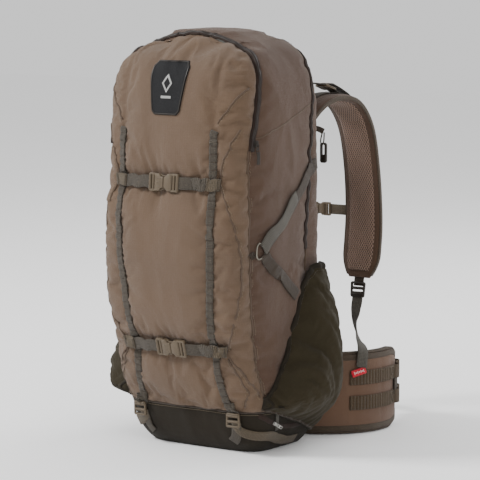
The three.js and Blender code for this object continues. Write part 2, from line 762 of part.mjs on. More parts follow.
// Buckle halves of the open belt, each on the webbing that leaves its wing.
const BELT_BUCKLE_SCALE = 1.35;
const BELT_BUCKLE_Z = 70;
const BELT_BUCKLE_SPREAD = 14;
for (const [name, solid, sign] of [['female', femaleHalf(), -1], ['male', maleHalf(), 1]]) {
  const geometry = toGeometry(solid).scale(BELT_BUCKLE_SCALE, BELT_BUCKLE_SCALE, BELT_BUCKLE_SCALE);
  const mesh = add(`hip_buckle_${name}`, geometry, 'buckle_plastic');
  mesh.position.set(sign * BELT_BUCKLE_SPREAD, BELT_MIDDLE_Y + BELT_HALF_Y - 2, BELT_BUCKLE_Z);
}

export default backpack;
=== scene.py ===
import math

import bmesh
import bpy
import numpy as np
from mathutils import Matrix, Vector, noise
from mathutils.bvhtree import BVHTree


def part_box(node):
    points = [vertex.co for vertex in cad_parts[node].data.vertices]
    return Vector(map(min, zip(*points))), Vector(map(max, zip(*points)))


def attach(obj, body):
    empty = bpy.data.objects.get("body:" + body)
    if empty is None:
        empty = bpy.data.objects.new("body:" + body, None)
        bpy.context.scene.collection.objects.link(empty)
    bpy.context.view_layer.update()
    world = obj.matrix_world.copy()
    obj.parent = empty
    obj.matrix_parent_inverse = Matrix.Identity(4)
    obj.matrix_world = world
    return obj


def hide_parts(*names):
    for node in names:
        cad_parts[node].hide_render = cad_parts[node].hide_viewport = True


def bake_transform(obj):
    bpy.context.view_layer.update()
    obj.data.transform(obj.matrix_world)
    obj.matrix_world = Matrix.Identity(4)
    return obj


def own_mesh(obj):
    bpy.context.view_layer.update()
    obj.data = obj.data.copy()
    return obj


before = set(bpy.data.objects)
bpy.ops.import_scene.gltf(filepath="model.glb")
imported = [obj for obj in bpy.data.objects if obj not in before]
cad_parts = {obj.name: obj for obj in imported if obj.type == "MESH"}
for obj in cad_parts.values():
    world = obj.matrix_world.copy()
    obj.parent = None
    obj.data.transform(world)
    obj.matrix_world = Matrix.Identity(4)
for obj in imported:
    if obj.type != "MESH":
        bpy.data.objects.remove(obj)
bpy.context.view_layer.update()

MM = 0.001
SIDES = (("right", 1), ("left", -1))

# ------------------------------------------------------------------ camera, light and floor
VIEW_TURN = math.radians(35)        # camera to the front and to the bag's +X side
VIEW_TILT = math.radians(7.0)
VIEW_DISTANCE = 4.1
VIEW_TARGET = Vector((0.003, 0.065, 0.3245))
LENS = 188.0


def add_camera():
    data = bpy.data.cameras.new("camera")
    data.lens = LENS
    data.sensor_width = 36.0
    camera = bpy.data.objects.new("camera", data)
    bpy.context.scene.collection.objects.link(camera)
    away = Vector((math.sin(VIEW_TURN) * math.cos(VIEW_TILT),
                   -math.cos(VIEW_TURN) * math.cos(VIEW_TILT), math.sin(VIEW_TILT)))
    camera.location = VIEW_TARGET + away * VIEW_DISTANCE
    camera.rotation_euler = (-away).to_track_quat("-Z", "Y").to_euler()
    bpy.context.scene.camera = camera


def add_area_light(name, place, size, power):
    data = bpy.data.lights.new(name, "AREA")
    data.energy = power
    data.size = size
    light = bpy.data.objects.new(name, data)
    light.location = place
    light.rotation_euler = (Vector((0, 0.05, 0.3)) - Vector(place)).to_track_quat("-Z", "Y").to_euler()
    bpy.context.scene.collection.objects.link(light)


def add_studio():
    add_area_light("key_light", (-2.3, -2.0, 2.8), 1.0, 165)
    add_area_light("fill_light", (2.6, -1.6, 1.4), 1.6, 20)
    add_area_light("rim_light", (0.8, 2.4, 2.0), 1.6, 45)
    world = bpy.data.worlds.new("studio")
    world.use_nodes = True
    background = world.node_tree.nodes["Background"]
    background.inputs["Color"].default_value = (1.0, 1.0, 1.0, 1)
    background.inputs["Strength"].default_value = 0.95
    bpy.context.scene.world = world
    floor = grid_object("floor", [[Vector((x, y, -0.0005)) for y in (-6, 8)] for x in (-8, 8)])
    floor.data.materials.append(plain_material("floor_paper", (0.99, 0.99, 0.99), 0.95))


# ------------------------------------------------------------------ mesh builders
def clamp(value):
    return min(max(value, 0.0), 1.0)


def new_object(name, vertices, faces, uvs=None, smooth=True):
    """Mesh object; uvs holds one pair in metres for each vertex."""
    mesh = bpy.data.meshes.new(name)
    mesh.from_pydata([tuple(v) for v in vertices], [], faces)
    mesh.update()
    if uvs is not None:
        layer = mesh.uv_layers.new(name="metres")
        for loop in mesh.loops:
            layer.data[loop.index].uv = uvs[loop.vertex_index]
    if smooth:
        mesh.polygons.foreach_set("use_smooth", [True] * len(mesh.polygons))
    obj = bpy.data.objects.new(name, mesh)
    bpy.context.scene.collection.objects.link(obj)
    return obj


def grid_uvs(rows):
    """Arc lengths along and across a grid of points, measured from its middle."""
    middle = len(rows[0]) // 2
    along = [0.0]
    for a, b in zip(rows, rows[1:]):
        along.append(along[-1] + (b[middle] - a[middle]).length)
    uvs = []
    for i, row in enumerate(rows):
        across = [0.0]
        for a, b in zip(row, row[1:]):
            across.append(across[-1] + (b - a).length)
        uvs += [(c - across[middle], along[i]) for c in across]
    return uvs


def grid_object(name, rows):
    count = len(rows[0])
    vertices = [p for row in rows for p in row]
    faces = []
    for i in range(len(rows) - 1):
        for j in range(count - 1):
            a = i * count + j
            faces.append((a, a + 1, a + count + 1, a + count))
    return new_object(name, vertices, faces, grid_uvs(rows))


def loft_object(name, stations, closed=False, uvs=None):
    """Skin over equal closed outlines; its ends are filled unless it closes on itself."""
    count = len(stations[0])
    vertices = [p for s in stations for p in s]
    faces = []
    last = len(stations) if closed else len(stations) - 1
    for i in range(last):
        low, high = i * count, ((i + 1) % len(stations)) * count
        for j in range(count):
            k = (j + 1) % count
            faces.append((low + j, low + k, high + k, high + j))
    if not closed:
        faces.append(tuple(reversed(range(count))))
        faces.append(tuple(range((len(stations) - 1) * count, len(stations) * count)))
    return new_object(name, vertices, faces, uvs)


def fix_normals(obj):
    work = bmesh.new()
    work.from_mesh(obj.data)
    bmesh.ops.recalc_face_normals(work, faces=work.faces)
    work.to_mesh(obj.data)
    work.free()
    return obj


def join(name, parts):
    """One object from several meshes that share a material list."""
    with bpy.context.temp_override(active_object=parts[0], object=parts[0], selected_objects=parts,
                                   selected_editable_objects=parts):
        bpy.ops.object.join()
    parts[0].name = name
    parts[0].data.name = name
    return parts[0]


def modifier(obj, kind, **settings):
    added = obj.modifiers.new(kind.lower(), kind)
    for key, value in settings.items():
        setattr(added, key, value)
    return added


def apply_modifiers(obj):
    depsgraph = bpy.context.evaluated_depsgraph_get()
    mesh = bpy.data.meshes.new_from_object(obj.evaluated_get(depsgraph))
    obj.modifiers.clear()
    obj.data = mesh
    return obj


def smooth_curve(points, steps):
    """Catmull-Rom curve through points, evenly resampled."""
    points = [Vector(p) for p in points]
    ends = [2 * points[0] - points[1], *points, 2 * points[-1] - points[-2]]
    dense = []
    for a, b, c, d in zip(ends, ends[1:], ends[2:], ends[3:]):
        for k in range(16):
            t = k / 16
            dense.append(0.5 * (2 * b + (c - a) * t + (2 * a - 5 * b + 4 * c - d) * t * t
                                + (3 * b - a - 3 * c + d) * t ** 3))
    dense.append(points[-1])
    reach = [0.0]
    for a, b in zip(dense, dense[1:]):
        reach.append(reach[-1] + (b - a).length)
    result = []
    k = 0
    for i in range(steps + 1):
        want = reach[-1] * i / steps
        while k < len(reach) - 2 and reach[k + 1] < want:
            k += 1
        share = (want - reach[k]) / max(reach[k + 1] - reach[k], 1e-9)
        result.append(dense[k].lerp(dense[k + 1], share))
    return result


def finish_piece(obj, body, slot, material, *replaced):
    obj.data.materials.clear()
    obj.data.materials.append(material)
    if replaced:
        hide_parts(*replaced)
    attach(obj, body)
    return obj


# ------------------------------------------------------------------ materials
class Shader:
    """Short way to wire a node material."""

    def __init__(self, name, roughness, sheen=0.0):
        self.material = bpy.data.materials.new(name)
        self.material.use_nodes = True
        self.tree = self.material.node_tree
        self.out = self.tree.nodes["Principled BSDF"]
        self.out.inputs["Roughness"].default_value = roughness
        self.out.inputs["Specular IOR Level"].default_value = 0.3
        if sheen:
            self.out.inputs["Sheen Weight"].default_value = sheen
            self.out.inputs["Sheen Roughness"].default_value = 0.5

    def node(self, kind, **settings):
        made = self.tree.nodes.new("ShaderNode" + kind)
        for key, value in settings.items():
            setattr(made, key, value)
        return made

    def link(self, source, target):
        self.tree.links.new(source, target)

    def math(self, operation, a, b=None, clamp=False):
        made = self.node("Math", operation=operation, use_clamp=clamp)
        for socket, value in zip(made.inputs, (a, b)):
            if value is None:
                continue
            if isinstance(value, (int, float)):
                socket.default_value = value
            else:
                self.link(value, socket)
        return made.outputs[0]

    def mix(self, factor, a, b, blend="MIX"):
        made = self.node("Mix", data_type="RGBA", blend_type=blend)
        made.clamp_factor = True
        for socket, value in ((made.inputs[0], factor), (made.inputs[6], a), (made.inputs[7], b)):
            if isinstance(value, (int, float)):
                socket.default_value = value
            elif isinstance(value, tuple):
                socket.default_value = (*value, 1)
            else:
                self.link(value, socket)
        return made.outputs[2]

    def noise(self, scale, detail=3.0, vector=None, roughness=0.55):
        made = self.node("TexNoise")
        made.inputs["Scale"].default_value = scale
        made.inputs["Detail"].default_value = detail
        made.inputs["Roughness"].default_value = roughness
        self.link(vector or self.place(), made.inputs["Vector"])
        return made.outputs["Fac"]

    def place(self):
        return self.node("TexCoord").outputs["Object"]

    def uv(self):
        parts = self.node("SeparateXYZ")
        self.link(self.node("TexCoord").outputs["UV"], parts.inputs[0])
        return parts.outputs[0], parts.outputs[1]

    def wave(self, value, period):
        return self.math("SINE", self.math("MULTIPLY", value, 2 * math.pi / period))

    def bump(self, height, distance, strength=1.0, after=None):
        made = self.node("Bump")
        made.inputs["Distance"].default_value = distance
        made.inputs["Strength"].default_value = strength
        self.link(height, made.inputs["Height"])
        if after is not None:
            self.link(after, made.inputs["Normal"])
        return made.outputs[0]

    def finish(self, color, normal=None):
        self.link(color, self.out.inputs["Base Color"])
        if normal is not None:
            self.link(normal, self.out.inputs["Normal"])
        return self.material


def linear(color):
    """Display colour, 0 to 1, to the renderer's linear colour."""
    return tuple(c / 12.92 if c <= 0.04045 else ((c + 0.055) / 1.055) ** 2.4 for c in color)


def shade(color, share):
    return tuple(min(c * share, 1.0) for c in color)


def plain_material(name, color, roughness):
    s = Shader(name, roughness)
    tone = s.noise(3.0)
    base = linear(color)
    return s.finish(s.mix(tone, shade(base, 0.98), base))


def fabric_material(name, color, thread, ripstop=0.0, heather=0.16, roughness=0.88, sheen=0.12):
    """Woven cloth: crossing threads, an optional ripstop grid, and tone that varies along the cloth."""
    s = Shader(name, roughness, sheen)
    base = linear(color)
    u, v = s.uv()
    warp = s.wave(u, thread)
    weft = s.wave(v, thread)
    weave = s.math("MULTIPLY", warp, weft)
    tone = s.mix(s.noise(9.0, 4.0), shade(base, 0.86), shade(base, 1.12))
    warm = (base[0] * 1.16, base[1] * 1.04, base[2] * 0.78)
    patches = s.math("MULTIPLY", s.math("SUBTRACT", s.noise(5.0, 2.0), 0.46), 3.0, True)
    tone = s.mix(s.math("MULTIPLY", patches, 0.7), tone, warm)
    fleck = s.noise(900.0, 2.0)
    tone = s.mix(s.math("MULTIPLY", s.math("SUBTRACT", fleck, 0.42), heather * 6, True), tone,
                 shade(base, 1.5))
    tone = s.mix(s.math("MULTIPLY", s.math("ADD", weave, 1.0), 0.14), tone, shade(base, 0.45))
    height = weave
    if ripstop:
        lines = s.math("MAXIMUM", s.math("GREATER_THAN", s.wave(u, ripstop), 0.88),
                       s.math("GREATER_THAN", s.wave(v, ripstop), 0.88))
        tone = s.mix(s.math("MULTIPLY", lines, 0.12), tone, shade(base, 1.35))
        height = s.math("ADD", weave, s.math("MULTIPLY", lines, 0.9))
    grain = s.noise(160.0, 4.0)
    normal = s.bump(grain, 0.0012, 0.55)
    normal = s.bump(height, 0.00022, 0.7, normal)
    return s.finish(tone, normal)


def webbing_material(name, color, rib=0.0022, rows=0.0026):
    """Webbing: ribs across its length, with painted shade down in the grooves between the ribs, so their tops
    look lighter.
    """
    s = Shader(name, 0.8, 0.1)
    base = linear(color)
    u, v = s.uv()
    ribs = s.math("ADD", s.wave(v, rib), s.math("MULTIPLY", s.wave(u, rows), 0.5))
    tone = s.mix(s.noise(30.0), shade(base, 0.8), shade(base, 1.15))
    # painted shade: darker where the ribs dip, in the grooves between them
    tone = s.mix(s.math("MULTIPLY", s.math("ADD", ribs, 1.2), 0.3, True), shade(base, 0.55), tone)
    fleck = s.noise(700.0, 1.0)
    tone = s.mix(s.math("MULTIPLY", s.math("SUBTRACT", fleck, 0.55), 3.0, True), tone, shade(base, 1.7))
    return s.finish(tone, s.bump(ribs, 0.0005, 0.8))


def mesh_material(name, color, pitch=0.0042):
    """Spacer mesh: rows of round holes in a knitted face, with painted shade inside the holes."""
    s = Shader(name, 0.95, 0.1)
    base = linear(color)
    u, v = s.uv()
    row = s.wave(v, pitch * 1.7)
    shifted = s.math("ADD", u, s.math("MULTIPLY", s.math("GREATER_THAN", row, 0.0), pitch / 2))
    holes = s.math("MULTIPLY", s.wave(shifted, pitch), s.math("ABSOLUTE", row))
    tone = s.mix(s.noise(14.0), shade(base, 0.8), shade(base, 1.2))
    # painted shade: the holes are darkened where shade falls into them
    painted_hole_shade = s.math("MULTIPLY", s.math("ADD", holes, 0.05), 2.4, True)
    tone = s.mix(painted_hole_shade, tone, shade(base, 0.22))
    return s.finish(tone, s.bump(s.math("SUBTRACT", 0.0, holes), 0.0009, 0.8))


def plastic_material(name, color, roughness=0.45, wear=0.18):
    """Moulded plastic: fine texture, with tone that shifts and slight wear."""
    s = Shader(name, roughness)
    base = linear(color)
    tone = s.mix(s.noise(60.0), shade(base, 0.82), shade(base, 1.12))
    scuff = s.noise(420.0, 5.0, roughness=0.7)
    tone = s.mix(s.math("MULTIPLY", s.math("SUBTRACT", scuff, 0.56), wear * 20, True), tone,
                 shade(base, 1.7))
    rough = s.math("ADD", roughness - 0.08, s.math("MULTIPLY", scuff, 0.16))
    s.link(rough, s.out.inputs["Roughness"])
    return s.finish(tone, s.bump(s.noise(1500.0, 2.0), 0.00015, 0.6))


def metal_material(name, color):
    s = Shader(name, 0.35)
    s.out.inputs["Metallic"].default_value = 1.0
    base = linear(color)
    tone = s.mix(s.noise(200.0), shade(base, 0.7), shade(base, 1.1))
    s.link(s.math("ADD", 0.25, s.math("MULTIPLY", s.noise(500.0), 0.3)), s.out.inputs["Roughness"])
    return s.finish(tone, s.bump(s.noise(900.0), 0.0001, 0.5))


FRONT_FABRIC = fabric_material("front_ripstop", (0.365, 0.293, 0.232), 0.0013, ripstop=0.0042)
SIDE_FABRIC = fabric_material("side_cloth", (0.288, 0.214, 0.166), 0.0013, ripstop=0.0042)
DARK_FABRIC = fabric_material("base_cloth", (0.104, 0.078, 0.030), 0.0019, heather=0.12, sheen=0.03)
STRETCH_FABRIC = fabric_material("pocket_stretch", (0.160, 0.132, 0.062), 0.0026, heather=0.16, sheen=0.03)
LINING = fabric_material("lining_cloth", (0.30, 0.30, 0.29), 0.0012, heather=0.08)
WEBBING = webbing_material("olive_webbing", (0.275, 0.245, 0.205))
DARK_WEBBING = webbing_material("dark_webbing", (0.235, 0.190, 0.145))
TAN_WEBBING = webbing_material("tan_webbing", (0.345, 0.300, 0.235))
BINDING = webbing_material("edge_binding", (0.315, 0.262, 0.205), 0.0016, 0.0016)
PIPING = fabric_material("piping_cloth", (0.31, 0.250, 0.200), 0.0012)
ZIP_TAPE = fabric_material("zip_tape_cloth", (0.155, 0.105, 0.078), 0.0013, heather=0.05, sheen=0.04)
ZIP_TEETH = plastic_material("zip_teeth", (0.120, 0.085, 0.065), 0.5)
MESH = mesh_material("spacer_mesh", (0.490, 0.400, 0.345))
BUCKLE = plastic_material("buckle_plastic", (0.330, 0.285, 0.225))
DARK_PLASTIC = plastic_material("dark_plastic", (0.165, 0.145, 0.125))
FRAME_PLASTIC = plastic_material("frame_sheet_plastic", (0.10, 0.10, 0.10))
WIRE = metal_material("bent_wire", (0.52, 0.50, 0.46))
SILVER = metal_material("silver_puller", (0.72, 0.71, 0.69))
PATCH = fabric_material("patch_face", (0.022, 0.022, 0.036), 0.001, heather=0.03, roughness=0.7, sheen=0.0)
EMBLEM = plastic_material("emblem_film", (0.56, 0.56, 0.55), 0.4)
TAG = fabric_material("tag_ribbon", (0.78, 0.08, 0.18), 0.001, heather=0.04, roughness=0.6)
THREAD = fabric_material("stitch_thread", (0.47, 0.42, 0.35), 0.001)
TAG_THREAD = fabric_material("tag_thread", (0.86, 0.80, 0.79), 0.0008)
BELT_FABRIC = fabric_material("belt_cloth", (0.385, 0.296, 0.240), 0.0013, heather=0.1)
GREY_WEBBING = webbing_material("grey_webbing", (0.330, 0.312, 0.280))
MOLLE_WEBBING = webbing_material("belt_webbing", (0.325, 0.262, 0.185), 0.0018)


# ------------------------------------------------------------------ bag surface, measured on the frame
BAG_PANELS = ("base_panel", "front_panel", "side_panel_left", "side_panel_right", "top_panel", "back_panel",
              "front_flap")
# Outline corners: power along the bag, power at its top, height where it starts to change, over how far.
FRONT_CORNERS = (5.0, 2.5, 0.610, 0.045)
BACK_CORNERS = (11.0, 4.0, 0.55, 0.09)
ROUND_FROM_Z = 0.636
TOP_ROUNDING = (-0.009, 0.0095, -0.010)
TOP_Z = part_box("top_panel")[1].z
BASE_SEAM_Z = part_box("front_panel")[0].z
FLAP_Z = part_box("front_flap")[0].z
UPPER_STRAP_Z = sum(p.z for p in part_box("upper_strap_right")) / 2
LOWER_STRAP_Z = sum(p.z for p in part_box("lower_strap_right")) / 2
PROFILE_STEP = 0.004
PROFILE_SMOOTH = 3


def tree_of_meshes(meshes):
    vertices, faces = [], []
    for mesh in meshes:
        start = len(vertices)
        vertices += [v.co.copy() for v in mesh.vertices]
        faces += [[start + i for i in p.vertices] for p in mesh.polygons]
    return BVHTree.FromPolygons(vertices, faces)


def tree_of(*objects):
    return tree_of_meshes([obj.data for obj in objects])


def first_hit(tree, start, direction):
    """First hit of a ray; it is nudged up where it runs through the gap between two panels."""
    for nudge in (0.0, 0.0008, -0.0008):
        hit = tree.ray_cast(start + Vector((0, 0, nudge)), direction)[0]
        if hit is not None:
            return hit
    return start


def measure_profile():
    """Half width, front and back of the bag at even heights, smoothed over a few steps."""
    tree = tree_of(*(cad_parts[n] for n in BAG_PANELS))
    rows = []
    count = int(TOP_Z / PROFILE_STEP)
    for i in range(count + 1):
        z = min(max(i * PROFILE_STEP, 0.001), TOP_Z - 0.001)
        front = first_hit(tree, Vector((0.001, -0.6, z)), Vector((0, 1, 0))).y
        back = first_hit(tree, Vector((0.001, 0.6, z)), Vector((0, -1, 0))).y
        side = first_hit(tree, Vector((0.6, (front + back) / 2, z)), Vector((-1, 0, 0))).x
        rows.append((side, front, back))
    rows = np.array(rows)
    smooth = rows.copy()
    for _ in range(PROFILE_SMOOTH):
        smooth[1:-1] = (smooth[:-2] + 2 * smooth[1:-1] + smooth[2:]) / 4
    for i, row in enumerate(smooth):
        t = clamp((i * PROFILE_STEP - ROUND_FROM_Z) / (TOP_Z - ROUND_FROM_Z))
        row += np.array(TOP_ROUNDING) * t * t
    return smooth


def corner_power(z, front):
    """The outline's corners are tight along the bag and rounder over its top."""
    low, top, from_z, over = FRONT_CORNERS if front else BACK_CORNERS
    return low + (top - low) * clamp((z - from_z) / over)


PROFILE = measure_profile()


def profile_at(z):
    place = min(max(z / PROFILE_STEP, 0.0), len(PROFILE) - 1.001)
    i = int(place)
    row = PROFILE[i] * (1 - (place - i)) + PROFILE[i + 1] * (place - i)
    return row[0], (row[1] + row[2]) / 2, (row[2] - row[1]) / 2


def ring_point(turn, z):
    """Point of the outline: turn is 0 at the front, a quarter turn at +X and a half turn at the back."""
    half, middle, depth = profile_at(z)
    s, c = math.sin(turn), math.cos(turn)
    power = corner_power(z, c > 0)
    reach = (abs(s / half) ** power + abs(c / depth) ** power) ** (-1 / power)
    return Vector((reach * s, middle - reach * c, z))


def turn_at(y, z):
    half, middle, depth = profile_at(z)
    c = min(max((middle - y) / depth, -1.0), 1.0)
    power = corner_power(z, c > 0)
    x = half * (1 - abs(c) ** power) ** (1 / power)
    return math.atan2(x, middle - y)


FRONT_SEAM = ((0.070, -0.045), (0.120, -0.066), (0.173, -0.084), (0.245, -0.096), (0.316, -0.098),
              (0.490, -0.098))
FRONT_ZIP_SLOPE = 0.25
MAIN_ZIP_Z, MAIN_ZIP_Y, MAIN_ZIP_SLOPE = 0.318, 0.055, 0.1


def front_seam_y(z):
    last_z, last_y = FRONT_SEAM[-1]
    if z >= last_z:
        return last_y + FRONT_ZIP_SLOPE * (z - last_z)
    if z <= FRONT_SEAM[0][0]:
        return FRONT_SEAM[0][1]
    for (z0, y0), (z1, y1) in zip(FRONT_SEAM, FRONT_SEAM[1:]):
        if z <= z1:
            t = (z - z0) / (z1 - z0)
            t = t * t * (3 - 2 * t) * 0.4 + t * 0.6
            return y0 + (y1 - y0) * t
    return last_y


def main_zip_y(z):
    return MAIN_ZIP_Y + MAIN_ZIP_SLOPE * (z - MAIN_ZIP_Z)


def blob(value, centre, width):
    return math.exp(-((value - centre) / width) ** 2)


STRAP_ANCHOR_X = 0.098
TUG_REACH = 0.05
DAISY_X = 0.088
DAISY_PINCH = 0.011


def daisy_x(z):
    return DAISY_X - DAISY_PINCH * math.exp(-((z - LOWER_STRAP_Z) / 0.095) ** 2)


def relief(p, edge):
    """How far the cloth stands off its outline: folds, puckers at seams and pulls at the strap anchors.
    edge is the distance to the nearest seam."""
    x, y, z = p
    broad = 3.0 * noise.noise(Vector((x * 8, y * 8 + 3, z * 5)))
    fold = 2.3 * noise.noise(Vector((x * 24 + 2.5 * z, y * 24, z * 7 + 5)))
    crease = 2.0 * (0.42 - abs(noise.noise(Vector((x * 30 + 4 * z, y * 30, z * 16 + 9)))))
    fine = 0.35 * noise.noise(Vector((x * 85, y * 85, z * 60)))
    near_seam = math.exp(-edge / 0.014)
    pucker = 1.8 * near_seam * noise.noise(Vector((x * 50, y * 50, z * 75 + 2)))
    total = 1.2 + broad + fold + crease + fine + pucker - 3.4 * math.exp(-edge / 0.008)
    if y < 0:
        front = clamp((0.135 - abs(x)) / 0.03) * clamp((-0.05 - y) / 0.03)
        for strap_z, strength in ((UPPER_STRAP_Z, 1.0), (LOWER_STRAP_Z, 1.25)):
            total -= front * strength * 4.2 * blob(z, strap_z, 0.017)
            total += front * strength * 1.8 * (blob(z, strap_z + 0.052, 0.03)
                                               + blob(z, strap_z - 0.052, 0.03))
            dx, dz = abs(x) - STRAP_ANCHOR_X, z - strap_z
            r = math.hypot(dx, dz)
            total += 1.5 * strength * math.exp(-r / TUG_REACH) * math.sin(6 * math.atan2(dz, dx) + 1.3)
        total -= front * 1.5 * blob(abs(x), daisy_x(z), 0.007)
    return total * MM


def panel_rows(heights, turns_at, columns):
    rows = []
    for z in heights:
        low, high = turns_at(z)
        rows.append([ring_point(low + (high - low) * j / columns, z) for j in range(columns + 1)])
    return rows


def spread(low, high, step):
    count = max(int(round((high - low) / step)), 1)
    return [low + (high - low) * i / count for i in range(count + 1)]


def raise_relief(obj, rows, share=1.0, open_rows=()):
    """Moves grid points along their normals by the cloth's relief. open_rows are edges that aren't seams."""
    count = len(rows[0])
    total = len(rows)
    normals = [v.normal.copy() for v in obj.data.vertices]
    for i, row in enumerate(rows):
        span = [0.0]
        for a, b in zip(row, row[1:]):
            span.append(span[-1] + (b - a).length)
        for j in range(count):
            low = (row[j] - rows[0][j]).length if "first" not in open_rows else 9.0
            high = (row[j] - rows[total - 1][j]).length if "last" not in open_rows else 9.0
            edge = min(span[j], span[-1] - span[j], low, high)
            k = i * count + j
            obj.data.vertices[k].co += normals[k] * relief(row[j], edge) * share
    obj.data.update()


CLOTH_WALL = 0.0022
CLOTH_STEP = 0.0042


BAG_FACES = []


def cloth_panel(obj, material, slot_name, body, *nodes):
    """Gives a panel its two faces, cloth outside and lining inside, and keeps its outer face for later."""
    BAG_FACES.append(obj.data.copy())
    obj.data.materials.append(material)
    obj.data.materials.append(LINING)
    modifier(obj, "SOLIDIFY", thickness=CLOTH_WALL, offset=-1.0, material_offset=1)
    apply_modifiers(obj)
    obj.data.set_sharp_from_angle(angle=math.radians(60))
    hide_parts(*nodes)
    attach(obj, body)
    return obj


def boundary_pins(mesh):
    """Weight of 1 on open edges, which are sewn."""
    uses = {}
    for polygon in mesh.polygons:
        for key in polygon.edge_keys:
            uses[key] = uses.get(key, 0) + 1
    pins = np.zeros(len(mesh.vertices))
    for (a, b), count in uses.items():
        if count == 1:
            pins[a] = pins[b] = 1.0
    return pins


def strap_pins(p):
    """Cloth is held where a strap presses on it, and a little beside the daisy chains."""
    hold = 0.0
    if p.y < -0.04:
        for strap_z in (UPPER_STRAP_Z, LOWER_STRAP_Z):
            if abs(p.x) < STRAP_ANCHOR_X + 0.006 and abs(p.z - strap_z) < 0.009:
                hold = 1.0
        if abs(abs(p.x) - daisy_x(p.z)) < 0.004:
            hold = max(hold, 0.85)
    return hold


def settle_cloth(obj, slack, pressure, cap, extra_pins=None, frames=20, stiffness=9.0, bending=0.35):
    """Lets a sewn panel settle as cloth: it has slack, is pushed out a little, and is held at its seams.
    The result is applied to the mesh, and no point moves further than cap."""
    mesh = obj.data
    rest = np.array([v.co for v in mesh.vertices])
    pins = boundary_pins(mesh)
    if extra_pins is not None:
        pins = np.maximum(pins, [extra_pins(Vector(c)) for c in rest])
    group = obj.vertex_groups.new(name="sewn")
    for index in np.nonzero(pins)[0]:
        group.add([int(index)], float(pins[index]), "REPLACE")
    cloth = modifier(obj, "CLOTH")
    settings = cloth.settings
    settings.quality = 5
    settings.mass = 0.25
    settings.tension_stiffness = stiffness
    settings.compression_stiffness = stiffness
    settings.shear_stiffness = 3.0
    settings.bending_stiffness = bending
    settings.air_damping = 2.0
    settings.vertex_group_mass = "sewn"
    settings.pin_stiffness = 1.0
    settings.shrink_min = -slack
    settings.use_pressure = True
    settings.uniform_pressure_force = pressure
    settings.effector_weights.gravity = 0.0
    cloth.collision_settings.use_collision = False
    cloth.point_cache.frame_start = 1
    cloth.point_cache.frame_end = frames
    scene = bpy.context.scene
    for frame_number in range(1, frames + 1):
        scene.frame_set(frame_number)
    settled = obj.evaluated_get(bpy.context.evaluated_depsgraph_get()).data
    moved = np.array([v.co for v in settled.vertices]) - rest
    length = np.linalg.norm(moved, axis=1)
    share = cap * np.tanh(length / cap) / np.maximum(length, 1e-9)
    obj.modifiers.clear()
    obj.vertex_groups.clear()
    mesh.vertices.foreach_set("co", (rest + moved * share[:, None]).ravel())
    mesh.update()
    scene.frame_set(1)
    return obj


def front_turns(z):
    turn = turn_at(front_seam_y(z), z)
    return -turn, turn


def back_turns(z):
    turn = turn_at(main_zip_y(z), z)
    return turn, 2 * math.pi - turn


def closing_height(line, edge_index):
    """Height where a zip line meets the bag's front (0) or back (1) at the middle."""
    z = TOP_Z
    while z > FLAP_Z:
        _, middle, depth = profile_at(z)
        outline_y = middle - depth if edge_index == 0 else middle + depth
        if (line(z) - outline_y) * (1 if edge_index == 0 else -1) > 0.0004:
            return z
        z -= 0.0005
    return TOP_Z


FRONT_CLOSE_Z = closing_height(front_seam_y, 0)
BACK_CLOSE_Z = closing_height(main_zip_y, 1)


FRONT_COLUMNS = 84


def row_slice(name, obj, first, last, columns):
    """Object of the rows first to last of a grid."""
    count = columns + 1
    vertices = [v.co.copy() for v in obj.data.vertices][first * count:(last + 1) * count]
    return grid_object(name, [vertices[k * count:(k + 1) * count] for k in range(last - first + 1)])


def make_front():
    """The front is one cloth, parted at the flap's hinge. A facing lies under the flap's zip edge."""
    heights = spread(BASE_SEAM_Z, FLAP_Z, CLOTH_STEP)
    split = len(heights) - 1
    heights += spread(FLAP_Z, FRONT_CLOSE_Z, 0.003)[1:]
    rows = panel_rows(heights, front_turns, FRONT_COLUMNS)
    whole = grid_object("front_whole", rows)
    raise_relief(whole, rows)
    settle_cloth(whole, 0.05, 2.6, 0.0085, strap_pins)
    panel = row_slice("front_cloth", whole, 0, split, FRONT_COLUMNS)
    flap = row_slice("flap_cloth", whole, split, len(rows) - 1, FRONT_COLUMNS)
    bpy.data.objects.remove(whole)
    cloth_panel(panel, FRONT_FABRIC, "front_fabric", "bag", "front_panel")
    cloth_panel(flap, FRONT_FABRIC, "front_fabric", "front_flap", "front_flap")
    edge = [row[-1] for row in rows[-12:-1]] + rows[-1][::-1] + [row[0] for row in rows[-2:-13:-1]]
    under = ((-0.003, -0.0030), (0.000, -0.0016), (0.006, -0.0010))
    facing = grid_object("flap_facing", [[Vector((p.x * 0.98, p.y + reach, p.z + drop)) for p in edge]
                                         for reach, drop in under])
    modifier(facing, "SOLIDIFY", thickness=0.0008, offset=0.0)
    apply_modifiers(facing)
    finish_piece(facing, "front_flap", "front_fabric", FRONT_FABRIC)
    return flap


def make_back():
    rows = panel_rows(spread(BASE_SEAM_Z, BACK_CLOSE_Z, CLOTH_STEP), back_turns, 72)
    obj = grid_object("back_cloth", rows)
    raise_relief(obj, rows, 0.6)
    settle_cloth(obj, 0.02, 1.0, 0.004)
    return cloth_panel(obj, SIDE_FABRIC, "side_fabric", "bag", "back_panel")


def gusset_turns(z):
    return turn_at(front_seam_y(z), z), turn_at(main_zip_y(z), z)


